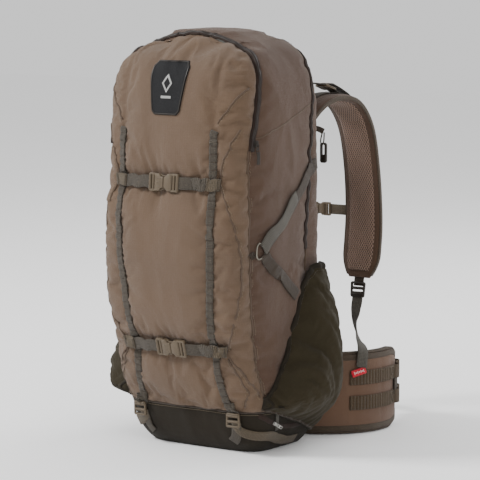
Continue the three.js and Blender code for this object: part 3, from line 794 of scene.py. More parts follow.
def make_gusset():
    """Both sides and the top: one strip of cloth between the two zips."""
    columns = 52
    closing = [z for close_z in (FRONT_CLOSE_Z, BACK_CLOSE_Z) for z in (close_z, close_z + 0.0005)
               if z < TOP_Z]
    regular = [z for z in spread(BASE_SEAM_Z, TOP_Z, CLOTH_STEP)
               if all(abs(z - c) > 0.0004 for c in closing)]
    rows = panel_rows(sorted(regular + closing), gusset_turns, columns)
    cap_steps = 8
    last = rows[-1]
    for k in range(1, cap_steps + 1):
        t = k / cap_steps
        rows.append([Vector((p.x * (1 - t), p.y, p.z + 0.0015 * math.sin(t * math.pi / 2))) for p in last])
    right = grid_object("gusset_cloth", rows)
    raise_relief(right, rows, 1.0, ("last",))
    for j in range(columns + 1):
        right.data.vertices[(len(rows) - 1) * (columns + 1) + j].co.x = 0.0
    work = bmesh.new()
    work.from_mesh(right.data)
    for vertex in work.verts:
        if vertex.co.z > FRONT_CLOSE_Z - 0.02 and abs(vertex.co.x) < 0.0006:
            vertex.co.x = 0.0
    mirror = bmesh.ops.duplicate(work, geom=work.verts[:] + work.edges[:] + work.faces[:])["geom"]
    flipped = [g for g in mirror if isinstance(g, bmesh.types.BMVert)]
    for vertex in flipped:
        vertex.co.x = -vertex.co.x
    bmesh.ops.reverse_faces(work, faces=[g for g in mirror if isinstance(g, bmesh.types.BMFace)])
    bmesh.ops.remove_doubles(work, verts=work.verts[:], dist=0.0002)
    work.to_mesh(right.data)
    work.free()
    settle_cloth(right, 0.035, 3.0, 0.007)
    return cloth_panel(right, SIDE_FABRIC, "side_fabric", "bag", "side_panel_left", "side_panel_right",
                       "top_panel")


def make_base():
    rows = []
    columns = 150
    for z in spread(0.0, BASE_SEAM_Z, 0.004):
        rows.append([ring_point(2 * math.pi * j / columns, z) for j in range(columns + 1)])
    bottom = rows[0]
    middle = sum(bottom[:-1], Vector()) / columns
    floor_rows = [[middle.lerp(p, t) for p in bottom] for t in (0.04, 0.3, 0.6, 0.85, 0.95)]
    for row in floor_rows[:-1]:
        for p in row:
            p.z = 0.0012
    floor_rows[-1] = [Vector((p.x, p.y, 0.0004)) for p in floor_rows[-1]]
    rows = floor_rows + rows
    obj = grid_object("base_cloth", rows)
    count = columns + 1
    normals = [v.normal.copy() for v in obj.data.vertices]
    for i, row in enumerate(rows[len(floor_rows) + 1:], len(floor_rows) + 1):
        for j, p in enumerate(row):
            lift = relief(p, BASE_SEAM_Z - p.z) * min(p.z / 0.02, 1.0) * 0.8
            k = i * count + j
            obj.data.vertices[k].co += normals[k if j < columns else i * count] * lift
    for i in range(len(rows)):
        obj.data.vertices[i * count + columns].co = obj.data.vertices[i * count].co
    obj.data.update()
    work = bmesh.new()
    work.from_mesh(obj.data)
    bmesh.ops.remove_doubles(work, verts=work.verts[:], dist=0.00005)
    inner = [v for v in work.verts if (v.co.xy - middle.xy).length < 0.02]
    bmesh.ops.holes_fill(work, edges=[e for e in work.edges if e.is_boundary and e.verts[0] in inner])
    work.to_mesh(obj.data)
    work.free()
    return cloth_panel(obj, DARK_FABRIC, "dark_fabric", "bag", "base_panel")


flap_cloth = make_front()
make_back()
make_gusset()
make_base()
BAG_TREE = tree_of_meshes(BAG_FACES)


# ------------------------------------------------------------------ strips that lie on the cloth
def mirrored_points(points):
    return [Vector((-p[0], p[1], p[2])) for p in points]


def frames_along(points, out_of):
    """Point, across and out directions along a path; out_of gives the outward direction at a point."""
    rows = []
    last = len(points) - 1
    for i, p in enumerate(points):
        along = (points[min(i + 1, last)] - points[max(i - 1, 0)]).normalized()
        out = out_of(i, p)
        across = along.cross(out).normalized()
        rows.append((p, across, across.cross(along).normalized()))
    return rows


def rounded_section(width, thick, edge=0.35):
    """Flat webbing section as (across, out) pairs, with soft edges."""
    half = width / 2
    lip = thick * edge
    return [(-half, thick * 0.5), (-half + lip, thick), (-half * 0.5, thick), (0, thick),
            (half * 0.5, thick),
            (half - lip, thick), (half, thick * 0.5), (half - lip, 0), (0, 0), (-half + lip, 0)]


def strip_from_rows(name, rows, width, thick, widths=None):
    stations, uvs = [], []
    length = 0.0
    for i, (p, across, out) in enumerate(rows):
        if i:
            length += (p - rows[i - 1][0]).length
        section = rounded_section(width * (widths[i] if widths else 1.0), thick)
        stations.append([p + across * a + out * b for a, b in section])
        uvs += [(a if b > thick * 0.4 else -a, length) for a, b in section]
    return fix_normals(loft_object(name, stations, uvs=uvs))


def nearest_on(tree, p):
    place, normal, _, _ = tree.find_nearest(p)
    return place, normal


def drape(points, tree, lift, tension=0):
    """Moves a path onto a surface. tension smooths it, so that it bridges hollows, and keeps it outside."""
    path, outs = [], []
    for p in points:
        place, normal = nearest_on(tree, p)
        path.append(place + normal * lift)
        outs.append(normal)
    for _ in range(tension):
        middle = [(a + 2 * b + c) / 4 for a, b, c in zip(path, path[1:], path[2:])]
        path = [path[0], *middle, path[-1]]
        for i, p in enumerate(path):
            place, normal = nearest_on(tree, p)
            depth = (p - place).dot(normal)
            if depth < lift:
                path[i] = place + normal * lift
    for _ in range(4):
        outs = [outs[0], *[(a + b + c).normalized() for a, b, c in zip(outs, outs[1:], outs[2:])], outs[-1]]
    return path, outs


def clear_rows(rows, tree, width, gap):
    """Lifts flat webbing where the cloth beside its middle line would come through it."""
    lifts = []
    for p, across, out in rows:
        need = 0.0
        for s in (-0.5, -0.25, 0.25, 0.5):
            q = p + across * s * width
            hit = tree.ray_cast(q + out * 0.02, -out)[0]
            if hit is not None:
                need = max(need, (hit - q).dot(out) + gap)
        lifts.append(need)
    for _ in range(3):
        lifts = [lifts[0], *[max(b, (a + 2 * b + c) / 4) for a, b, c in zip(lifts, lifts[1:], lifts[2:])],
                 lifts[-1]]
    return [(p + out * lift, across, out) for (p, across, out), lift in zip(rows, lifts)]


def draped_webbing(name, points, tree, width, thick, lift=0.0008, tension=6, steps=60, widths=None):
    path, outs = drape(smooth_curve(points, steps), tree, lift, tension)
    rows = clear_rows(frames_along(path, lambda i, p: outs[i]), tree, width, lift * 0.4)
    return strip_from_rows(name, rows, width, thick, widths)


def hugging_strip(name, points, tree, width, thick, lift, steps, crown=0.0):
    """Strip whose edges each follow the surface: tapes, seams and piping."""
    path, outs = drape(smooth_curve(points, steps), tree, 0.0, 0)
    rows = frames_along(path, lambda i, p: outs[i])
    shares = (-1.0, -0.55, 0.0, 0.55, 1.0)
    stations, uvs = [], []
    length = 0.0
    for i, (p, across, out) in enumerate(rows):
        if i:
            length += (p - rows[i - 1][0]).length
        top, low = [], []
        for s in shares:
            place = nearest_on(tree, p + across * s * width / 2)[0]
            height = lift + thick * (0.55 if abs(s) == 1.0 else 1.0) + crown * (1 - s * s)
            top.append(place + out * height)
            low.append(place + out * (lift - 0.0012))
        stations.append(top + low[::-1])
        uvs += [(s * width / 2, length) for s in shares + shares[::-1]]
    return fix_normals(loft_object(name, stations, uvs=uvs))


def seam_path(line, low_z, close_z, count=70):
    """Right half of a zip or seam line, from low_z up to the middle of the bag's top."""
    points = []
    for i in range(count + 1):
        t = 1 - (1 - i / count) ** 2
        z = low_z + (close_z - low_z) * t
        points.append(ring_point(turn_at(line(z), z), z))
    points[-1].x = 0.0
    return points


def over_the_top(line, low_z, close_z):
    right = seam_path(line, low_z, close_z)
    return right + mirrored_points(right[-2::-1])


def teeth_along(name, points, tree, spacing, size, lift):
    """Row of small zip teeth in pairs, offset from each other like a closed zip."""
    count = 2 * int(path_length(points) / spacing)
    path, outs = drape(smooth_curve(points, count), tree, lift, 2)
    rows = frames_along(path, lambda i, p: outs[i])
    vertices, faces = [], []
    length, width, height = size
    for i, (p, across, out) in enumerate(rows):
        side = 1 if i % 2 else -1
        along = out.cross(across)
        start = len(vertices)
        middle = p + across * side * width * 0.3
        for a, b, c in ((-1, -1, 0), (1, -1, 0), (1, 1, 0), (-1, 1, 0), (-0.7, -0.8, 1), (0.7, -0.8, 1),
                        (0.7, 0.8, 1), (-0.7, 0.8, 1)):
            vertices.append(middle + along * a * length / 2 + across * b * width / 2 + out * c * height)
        faces += [[start + k for k in face] for face in
                  ((3, 2, 1, 0), (4, 5, 6, 7), (0, 1, 5, 4), (1, 2, 6, 5), (2, 3, 7, 6), (3, 0, 4, 7))]
    return fix_normals(new_object(name, vertices, faces, [(v.x, v.z) for v in vertices], smooth=False))


def path_length(points):
    return sum((b - a).length for a, b in zip(points, points[1:]))


def stitches(name, points, tree, material, body="bag", slot="webbing", pitch=0.0034, lift=0.0003,
             across=0.0):
    """Run of single thread stitches: short thick dashes with gaps."""
    count = max(int(path_length(points) / pitch), 2)
    path, outs = drape(smooth_curve(points, count), tree, lift, 0)
    rows = frames_along(path, lambda i, p: outs[i])
    vertices, faces = [], []
    for p, side, out in rows:
        along = out.cross(side)
        start = len(vertices)
        middle = p + side * across
        for a, h in ((-1, 0.0), (-0.6, 1.0), (0.6, 1.0), (1, 0.0)):
            for b in (-1, 1):
                vertices.append(middle + along * a * pitch * 0.34 + side * b * 0.00035 + out * h * 0.0004)
        faces += [(start, start + 1, start + 3, start + 2), (start + 2, start + 3, start + 5, start + 4),
                  (start + 4, start + 5, start + 7, start + 6), (start, start + 2, start + 4, start + 6),
                  (start + 1, start + 7, start + 5, start + 3), (start, start + 6, start + 7, start + 1)]
    obj = fix_normals(new_object(name, vertices, faces, [(v.x, v.z) for v in vertices]))
    return finish_piece(obj, body, slot, material)


# ------------------------------------------------------------------ zips, seams and piping of the bag
FRONT_ZIP_LOW_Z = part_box("front_zip_tape")[0].z
MAIN_ZIP_LOW_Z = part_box("main_zip_tape")[0].z
TAPE_THICK = 0.0009
COIL_WIDTH = 0.0052


def shifted(line, distance):
    return lambda z: line(z) + distance


def make_zip(name, line, low_z, close_z, tape_width, side, node):
    """Tape on the body side of the zip line, its coil, and a stitch line near one edge of the tape."""
    middle = shifted(line, side * tape_width / 2)
    path = over_the_top(middle, low_z,
                        closing_height(middle, 0 if side > 0 else 1) if close_z is None else close_z)
    steps = int(path_length(path) / 0.005)
    tape = finish_piece(hugging_strip(name + "_tape_cloth", path, BAG_TREE, tape_width, TAPE_THICK, 0.0014,
                                      steps), "bag", "zip_tape", ZIP_TAPE, node)
    coil = finish_piece(hugging_strip(name + "_coil", path, BAG_TREE, COIL_WIDTH, 0.0008, 0.0022, steps,
                                      0.0006), "bag", "zip_tape", ZIP_TEETH)
    tape_tree = tree_of(tape, coil)
    teeth = teeth_along(name + "_teeth", path, tape_tree, 0.0027, (0.0016, 0.0034, 0.0007), 0.0002)
    finish_piece(teeth, "bag", "zip_tape", ZIP_TEETH)
    stitches(name + "_stitches", path, tape_tree, ZIP_TAPE, across=tape_width * 0.36)


make_zip("front_zip", front_seam_y, FRONT_ZIP_LOW_Z, None, 0.010, 1, "front_zip_tape")
make_zip("main_zip", main_zip_y, MAIN_ZIP_LOW_Z, None, 0.0125, -1, "main_zip_tape")


def front_point(x, z):
    """Point of the front panel's outline at a given x."""
    half, middle, depth = profile_at(z)
    power = corner_power(z, True)
    share = max(1 - abs(x / half) ** power, 0.0) ** (1 / power)
    return Vector((x, middle - depth * share, z))


def lens_x(z):
    """Shaping seam between the two front straps: it swings out from one anchor and back to the other."""
    t = (z - LOWER_STRAP_Z) / (UPPER_STRAP_Z - LOWER_STRAP_Z)
    return STRAP_ANCHOR_X + 0.031 * math.sin(math.pi * t) ** 0.8


def shaping_seams():
    """Seams of one side of the front panel, as lists of (x, z)."""
    low, high = LOWER_STRAP_Z, UPPER_STRAP_Z
    lens = [(lens_x(low + (high - low) * i / 24), low + (high - low) * i / 24) for i in range(25)]
    upper = [(0.098, high + 0.010), (0.104, high + 0.034), (0.114, high + 0.064), (0.128, high + 0.096)]
    crown = [(0.088, high + 0.083), (0.099, high + 0.104), (0.113, high + 0.128), (0.127, high + 0.150)]
    fan = [(0.100, low - 0.010), (0.116, low - 0.028), (0.130, low - 0.062), (0.131, low - 0.076)]
    inner = [(0.099, low - 0.012), (0.108, low - 0.030), (0.121, low - 0.066), (0.110, low - 0.092)]
    seams = {"lens": lens, "upper": upper, "crown": crown, "fan": fan, "inner": inner}
    parted = {}
    for seam, places in seams.items():
        fine = [places[0]]
        for a, b in zip(places, places[1:]):
            fine += [(a[0] + (b[0] - a[0]) * k / 6, a[1] + (b[1] - a[1]) * k / 6) for k in range(1, 7)]
        parted[seam, "bag"] = [p for p in fine if p[1] < FLAP_Z - 0.002]
        parted[seam, "front_flap"] = [p for p in fine if p[1] > FLAP_Z + 0.002]
    return {key: places for key, places in parted.items() if len(places) > 2}


for side, sign in SIDES:
    for (seam, body), places in shaping_seams().items():
        line = [front_point(sign * x, z) for x, z in places]
        name = f"seam_{seam}_{body}_{side}"
        finish_piece(hugging_strip(name, line, BAG_TREE, 0.0030, 0.0005, 0.0001, 40, 0.0010), body,
                     "front_fabric", PIPING)
        stitches(f"{name}_stitches", line, BAG_TREE, THREAD, body, "webbing", across=0.0032 * sign)
    low_half = [ring_point(sign * turn_at(front_seam_y(z), z), z)
                for z in spread(BASE_SEAM_Z, FRONT_ZIP_LOW_Z, 0.012)]
    finish_piece(hugging_strip(f"side_seam_{side}", low_half, BAG_TREE, 0.0034, 0.0004, 0.0001, 90, 0.0011),
                 "bag", "side_fabric", PIPING)
    stitches(f"side_seam_{side}_stitches", low_half, BAG_TREE, THREAD, across=0.004 * sign)
    rear_half = [ring_point(sign * turn_at(main_zip_y(z), z), z)
                 for z in spread(BASE_SEAM_Z, MAIN_ZIP_LOW_Z, 0.012)]
    finish_piece(hugging_strip(f"rear_seam_{side}", rear_half, BAG_TREE, 0.0034, 0.0004, 0.0001, 60,
                               0.0011), "bag", "side_fabric", PIPING)
    gusset_seam = [ring_point(sign * turn_at(y, z), z) for y, z in
                   ((-0.088, 0.505), (-0.040, 0.519), (0.020, 0.538), (0.070, 0.555))]
    finish_piece(hugging_strip(f"gusset_seam_{side}", gusset_seam, BAG_TREE, 0.0026, 0.0004, 0.0001, 40,
                               0.0008), "bag", "side_fabric", PIPING)

base_ring = [ring_point(2 * math.pi * j / 140, BASE_SEAM_Z) for j in range(141)]
base_piping = hugging_strip("base_piping", base_ring, BAG_TREE, 0.0036, 0.0005, 0.0001, 280, 0.0011)
finish_piece(base_piping, "bag", "dark_fabric", DARK_WEBBING)
stitches("base_stitches", [p - Vector((0, 0, 0.004)) for p in base_ring], BAG_TREE, THREAD)



# ------------------------------------------------------------------ moulded and cut shapes
def extruded(name, outline, thick, bevel=0.0008, holes=()):
    """Flat shape cut from a sheet: outline and holes are lists of (x, y); it spans z from 0 to thick."""
    work = bmesh.new()
    loops = []
    for ring in (outline, *holes):
        vertices = [work.verts.new((x, y, 0.0)) for x, y in ring]
        loops += [work.edges.new((a, b)) for a, b in zip(vertices, vertices[1:] + vertices[:1])]
    bmesh.ops.triangle_fill(work, use_beauty=True, use_dissolve=True, edges=loops)
    faces = work.faces[:]
    bmesh.ops.recalc_face_normals(work, faces=faces)
    raised = bmesh.ops.extrude_face_region(work, geom=faces)["geom"]
    bmesh.ops.translate(work, vec=(0, 0, thick),
                        verts=[g for g in raised if isinstance(g, bmesh.types.BMVert)])
    bmesh.ops.recalc_face_normals(work, faces=work.faces[:])
    mesh = bpy.data.meshes.new(name)
    work.to_mesh(mesh)
    work.free()
    obj = bpy.data.objects.new(name, mesh)
    bpy.context.scene.collection.objects.link(obj)
    layer = mesh.uv_layers.new(name="metres")
    for loop in mesh.loops:
        layer.data[loop.index].uv = mesh.vertices[loop.vertex_index].co.xy
    if bevel:
        modifier(obj, "BEVEL", width=bevel, segments=2, limit_method="ANGLE", angle_limit=math.radians(40))
        apply_modifiers(obj)
    mesh = obj.data
    mesh.polygons.foreach_set("use_smooth", [True] * len(mesh.polygons))
    mesh.set_sharp_from_angle(angle=math.radians(50))
    return obj


def rounded_rect(width, height, radius, centre=(0.0, 0.0), steps=4):
    points = []
    for cx, cy, start in ((1, 1, 0), (-1, 1, 90), (-1, -1, 180), (1, -1, 270)):
        for k in range(steps + 1):
            a = math.radians(start + 90 * k / steps)
            points.append((centre[0] + cx * (width / 2 - radius) + radius * math.cos(a),
                           centre[1] + cy * (height / 2 - radius) + radius * math.sin(a)))
    return points


def bar(name, start, end, radius, sides=10, flat=1.0):
    """Round or oval bar with soft ends."""
    start, end = Vector(start), Vector(end)
    along = (end - start).normalized()
    across = along.orthogonal().normalized()
    out = along.cross(across)
    stations = []
    length = (end - start).length
    for t, share in ((0.0, 0.55), (0.03, 0.85), (0.08, 1.0), (0.92, 1.0), (0.97, 0.85), (1.0, 0.55)):
        middle = start + along * length * t
        stations.append([middle + (across * math.cos(a) + out * math.sin(a) * flat) * radius * share
                         for a in [2 * math.pi * k / sides for k in range(sides)]])
    uvs = [(p.x + p.y, p.z) for s in stations for p in s]
    return fix_normals(loft_object(name, stations, uvs=uvs))


def place_at(obj, place, x_axis, z_axis, scale=1.0):
    """Bakes a turn and a move into the mesh: its own x and z go along the given directions."""
    x_axis = Vector(x_axis).normalized()
    z_axis = Vector(z_axis)
    z_axis = (z_axis - x_axis * z_axis.dot(x_axis)).normalized()
    y_axis = z_axis.cross(x_axis)
    turn = Matrix((x_axis, y_axis, z_axis)).transposed().to_4x4()
    obj.data.transform(Matrix.Translation(Vector(place)) @ turn @ Matrix.Scale(scale, 4))
    obj.data.update()
    return obj


def centre_of(*nodes):
    """Middle of the box around CAD nodes."""
    lows, highs = zip(*(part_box(n) for n in nodes))
    low = Vector([min(p[k] for p in lows) for k in range(3)])
    high = Vector([max(p[k] for p in highs) for k in range(3)])
    return (low + high) / 2


# ------------------------------------------------------------------ side-release buckles and ladder-locks
def female_half(name):
    """Socket half: it spans x from -28 mm to 0 of a buckle centred on its snap; the webbing end is at -28."""
    body = [(-13.5, 13.6), (-9, 13.9), (-6.5, 12.6), (-4.6, 9.4), (-2.2, 8.6), (0, 9.6), (0, -9.6),
            (-2.2, -8.6),
            (-4.6, -9.4), (-6.5, -12.6), (-9, -13.9), (-13.5, -13.6), (-14.6, -11.5), (-14.6, 11.5)]
    parts = [extruded(name, [(x * MM, y * MM) for x, y in body], 0.0082, 0.0012)]
    parts[0].data.transform(Matrix.Translation((0, 0, -0.0041)))
    rail = [(-28, 13.2), (-26.6, 14.4), (-14, 14.4), (-14, -14.4), (-26.6, -14.4), (-28, -13.2)]
    slots = [rounded_rect(0.0032, 0.0222, 0.001, (-0.0232, 0)),
             rounded_rect(0.0030, 0.0222, 0.001, (-0.0168, 0))]
    frame_part = extruded(name + "_rail", [(x * MM, y * MM) for x, y in rail], 0.0046, 0.0009, slots)
    frame_part.data.transform(Matrix.Translation((0, 0, -0.0023)))
    parts.append(frame_part)
    for x, radius in ((-0.0262, 0.0021), (-0.0200, 0.0019), (-0.0142, 0.0026)):
        parts.append(bar(name + "_bar", (x, -0.0136, 0.0008), (x, 0.0136, 0.0008), radius, 10, 1.3))
    for y in (-0.0062, 0.0, 0.0062):
        parts.append(bar(name + "_rib", (-0.0125, y, 0.0040), (-0.0035, y, 0.0038), 0.0007, 8))
    return join(name, parts)


def male_half(name):
    """Pronged half: shoulders, two side arms that show in the notches, a middle guide and a webbing bar."""
    block = [(4.4, 9.0), (6.4, 12.4), (8.4, 13.9), (12.6, 13.9), (13.6, 11.5), (13.6, -11.5), (12.6, -13.9),
             (8.4, -13.9), (6.4, -12.4), (4.4, -9.0), (0.6, -8.2), (0.6, 8.2)]
    parts = [extruded(name, [(x * MM, y * MM) for x, y in block], 0.0072, 0.0011)]
    parts[0].data.transform(Matrix.Translation((0, 0, -0.0036)))
    rail = [(28, 13.2), (26.6, 14.4), (13, 14.4), (13, -14.4), (26.6, -14.4), (28, -13.2)]
    slots = [rounded_rect(0.0034, 0.0222, 0.001, (0.0228, 0)),
             rounded_rect(0.0032, 0.0222, 0.001, (0.0164, 0))]
    frame_part = extruded(name + "_rail", [(x * MM, y * MM) for x, y in rail], 0.0046, 0.0009, slots)
    frame_part.data.transform(Matrix.Translation((0, 0, -0.0023)))
    parts.append(frame_part)
    for x, radius in ((0.0260, 0.0022), (0.0196, 0.0019), (0.0138, 0.0025)):
        parts.append(bar(name + "_bar", (x, -0.0136, 0.0008), (x, 0.0136, 0.0008), radius, 10, 1.3))
    for side in (-1, 1):
        arm = [(0.4, 8.6), (-3.0, 9.4), (-5.4, 10.8), (-7.2, 13.2), (-5.2, 13.5), (-2.2, 11.4), (2.6, 10.6),
               (6.4, 12.2), (6.4, 8.4)]
        piece = extruded(name + "_arm", [(x * MM, side * y * MM) for x, y in arm], 0.0034, 0.0006)
        piece.data.transform(Matrix.Translation((0, 0, -0.0017)))
        parts.append(piece)
    return join(name, parts)


def lay_pair(female_node, male_node, female_body, male_body, name, x_axis, z_axis, scale=1.0,
             spread_by=0.0):
    """Two halves of a buckle in place of their CAD nodes."""
    middle = centre_of(female_node, male_node)
    side = Vector(x_axis).normalized() * spread_by
    female = place_at(female_half(name + "_socket"), middle - side, x_axis, z_axis, scale)
    male = place_at(male_half(name + "_prongs"), middle + side, x_axis, z_axis, scale)
    finish_piece(female, female_body, "buckle_plastic", BUCKLE, female_node)
    finish_piece(male, male_body, "buckle_plastic", BUCKLE, male_node)
    return middle


def ladder_lock(name, width, height, thick):
    """Three-bar webbing adjuster in its own plane, with its long bars along x and a lifted grip edge."""
    w, h = width / 2, height / 2
    outline = [(-w, h * 0.8), (-w * 0.86, h), (w * 0.86, h), (w, h * 0.8), (w * 0.94, -h * 0.8),
               (w * 0.8, -h),
               (-w * 0.8, -h), (-w * 0.94, -h * 0.8)]
    slots = [rounded_rect(width * 0.74, height * 0.17, 0.0008, (0, height * 0.27)),
             rounded_rect(width * 0.74, height * 0.19, 0.0008, (0, -height * 0.10))]
    parts = [extruded(name, outline, thick * 0.6, 0.0007, slots)]
    parts[0].data.transform(Matrix.Translation((0, 0, -thick * 0.3)))
    for y, radius in ((height * 0.42, 0.0017), (height * 0.09, 0.0015), (-height * 0.30, 0.0019)):
        parts.append(bar(name + "_bar", (-w * 0.88, y, thick * 0.15), (w * 0.88, y, thick * 0.15), radius,
                         10, 1.2))
    parts.append(bar(name + "_grip", (-w * 0.8, -h * 0.86, thick * 0.3), (w * 0.8, -h * 0.86, thick * 0.3),
                     0.0015))
    return join(name, parts)


# ------------------------------------------------------------------ webbing and buckles on the front
def bar_tack(name, middle, across, along, out, width, body, material=None):
    """Dense zigzag of thread across a webbing."""
    points = []
    count = 12
    for k in range(count + 1):
        points.append(middle + across * width * (k / count - 0.5) + along * 0.0011 * (1 if k % 2 else -1)
                      + out * 0.0004)
    rows = frames_along(points, lambda i, p: out)
    obj = strip_from_rows(name, rows, 0.0009, 0.0006)
    return finish_piece(obj, body, "webbing", material or THREAD)


DAISY_WIDTH = 0.0135
DAISY_THICK = 0.0016
DAISY_PITCH = 0.0125


def make_daisy_chain(side, sign):
    """Ladder of loops: the webbing swells between its tacks."""
    node = f"daisy_chain_{side}"
    low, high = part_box(node)
    points = [front_point(sign * daisy_x(z), z) for z in spread(low.z, high.z, 0.02)]
    steps = int(path_length(points) / 0.0016)
    path, outs = drape(smooth_curve(points, steps), BAG_TREE, 0.0006, 10)
    rows = frames_along(path, lambda i, p: outs[i])
    length = 0.0
    lifted, widths, tacks = [], [], []
    for i, (p, across, out) in enumerate(rows):
        if i:
            length += (p - rows[i - 1][0]).length
        phase = (length % DAISY_PITCH) / DAISY_PITCH
        swell = math.sin(math.pi * phase)
        lifted.append((p + out * 0.0016 * swell, across, out))
        widths.append(0.93 + 0.07 * swell)
        if i and phase < ((length - (p - rows[i - 1][0]).length) % DAISY_PITCH) / DAISY_PITCH:
            tacks.append((p + out * DAISY_THICK * 1.05, across, out))
    finish_piece(strip_from_rows(f"daisy_webbing_{side}", lifted, DAISY_WIDTH, DAISY_THICK, widths), "bag",
                 "webbing", WEBBING, node)
    marks = []
    for k, (p, across, out) in enumerate(tacks):
        strip = [p + across * DAISY_WIDTH * 0.47 * t for t in (-1, -0.5, 0, 0.5, 1)]
        marks.append(strip_from_rows(f"daisy_tack_{side}_{k}", frames_along(strip, lambda i, q: out),
                                     0.0026, 0.0004))
    finish_piece(join(f"daisy_tacks_{side}", marks), "bag", "webbing", DARK_WEBBING)


for side, sign in SIDES:
    make_daisy_chain(side, sign)

STRAP_THICK = 0.0017
STRAP_WIDTH = 0.0195


def front_slope(z):
    a, b = front_point(0.0, z - 0.012), front_point(0.0, z + 0.012)
    return (b - a).normalized()


def make_front_strap(level, z):
    """Both halves of a compression strap, with folded ends at the anchors."""
    middle = centre_of(f"{level}_buckle_female", f"{level}_buckle_male")
    up = front_slope(z)
    out = Vector((1, 0, 0)).cross(up)
    lay_pair(f"{level}_buckle_female", f"{level}_buckle_male", "bag", f"{level}_buckle_male",
             f"{level}_buckle",
             (1, 0, 0), out)
    anchor_left, anchor_right = -STRAP_ANCHOR_X - 0.002, STRAP_ANCHOR_X + 0.002
    ends = {"left": (anchor_left, -0.0262), "right": (anchor_right, 0.0535)}
    for side, (outer, inner) in ends.items():
        points = []
        for k in range(7):
            x = outer + (inner - outer) * k / 6
            near = min(abs(x - outer) / 0.03, 1.0)
            p = front_point(x, z + 0.0015 * math.sin(9 * k))
            target = middle.y - front_point(0, z).y if k > 3 else -0.0035
            points.append(p + Vector((0, (target if side == "left" else -0.0045) * near, 0)))
        path, outs = drape(smooth_curve(points, 46), BAG_TREE, 0.0008, 0)
        raised = smooth_curve(points, 46)
        path = [a if a.y < b.y - 0.0002 else b for a, b in zip(raised, path)]
        for _ in range(5):
            path = [path[0], *[(a + 2 * b + c) / 4 for a, b, c in zip(path, path[1:], path[2:])], path[-1]]
        rows = frames_along(path, lambda i, p: outs[i])
        finish_piece(strip_from_rows(f"{level}_strap_web_{side}", rows, STRAP_WIDTH, STRAP_THICK), "bag",
                     "webbing", WEBBING, f"{level}_strap_{side}")
        folded_rows = int(len(rows) * (0.36 if side == "left" else 0.5))
        fold = [(p + o * STRAP_THICK, a, o) for p, a, o in rows[:folded_rows]]
        finish_piece(strip_from_rows(f"{level}_strap_fold_{side}", fold, STRAP_WIDTH * 0.97,
                                     STRAP_THICK * 0.8), "bag", "webbing", TAN_WEBBING)
        for k, index in enumerate((3, len(fold) - 2)):
            p, a, o = fold[index]
            bar_tack(f"{level}_strap_tack_{side}_{k}", p + o * STRAP_THICK, a, o.cross(a), o,
                     STRAP_WIDTH * 0.86,
                     "bag", DARK_WEBBING)
    return middle, up, out


def male_side_webbing(level, middle, out, reach):
    """Webbing from the right anchor's end to the male half; it follows the half and is squashed beyond it."""
    start = middle + Vector((0.0245, 0, 0))
    surface = BAG_TREE.ray_cast(Vector((0.052, -0.5, middle.z)), Vector((0, 1, 0)))[0]
    end = Vector((reach, (surface.y if surface else start.y) - 0.0025, middle.z))
    path = smooth_curve([start, start.lerp(end, 0.5) + out * 0.0006, end], 40)
    rows = frames_along(path, lambda i, p: out)
    web = strip_from_rows(f"{level}_male_web", rows, STRAP_WIDTH, STRAP_THICK)
    return web


for level, z in (("upper", UPPER_STRAP_Z), ("lower", LOWER_STRAP_Z)):
    middle, up, out = make_front_strap(level, z)
    reach = 0.058
    web = male_side_webbing(level, middle, out, reach)
    finish_piece(web, "bag", "webbing", WEBBING)
    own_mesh(web)


# ------------------------------------------------------------------ patch and zip sliders
def in_metres(outline):
    return [(x * MM, y * MM) for x, y in outline]


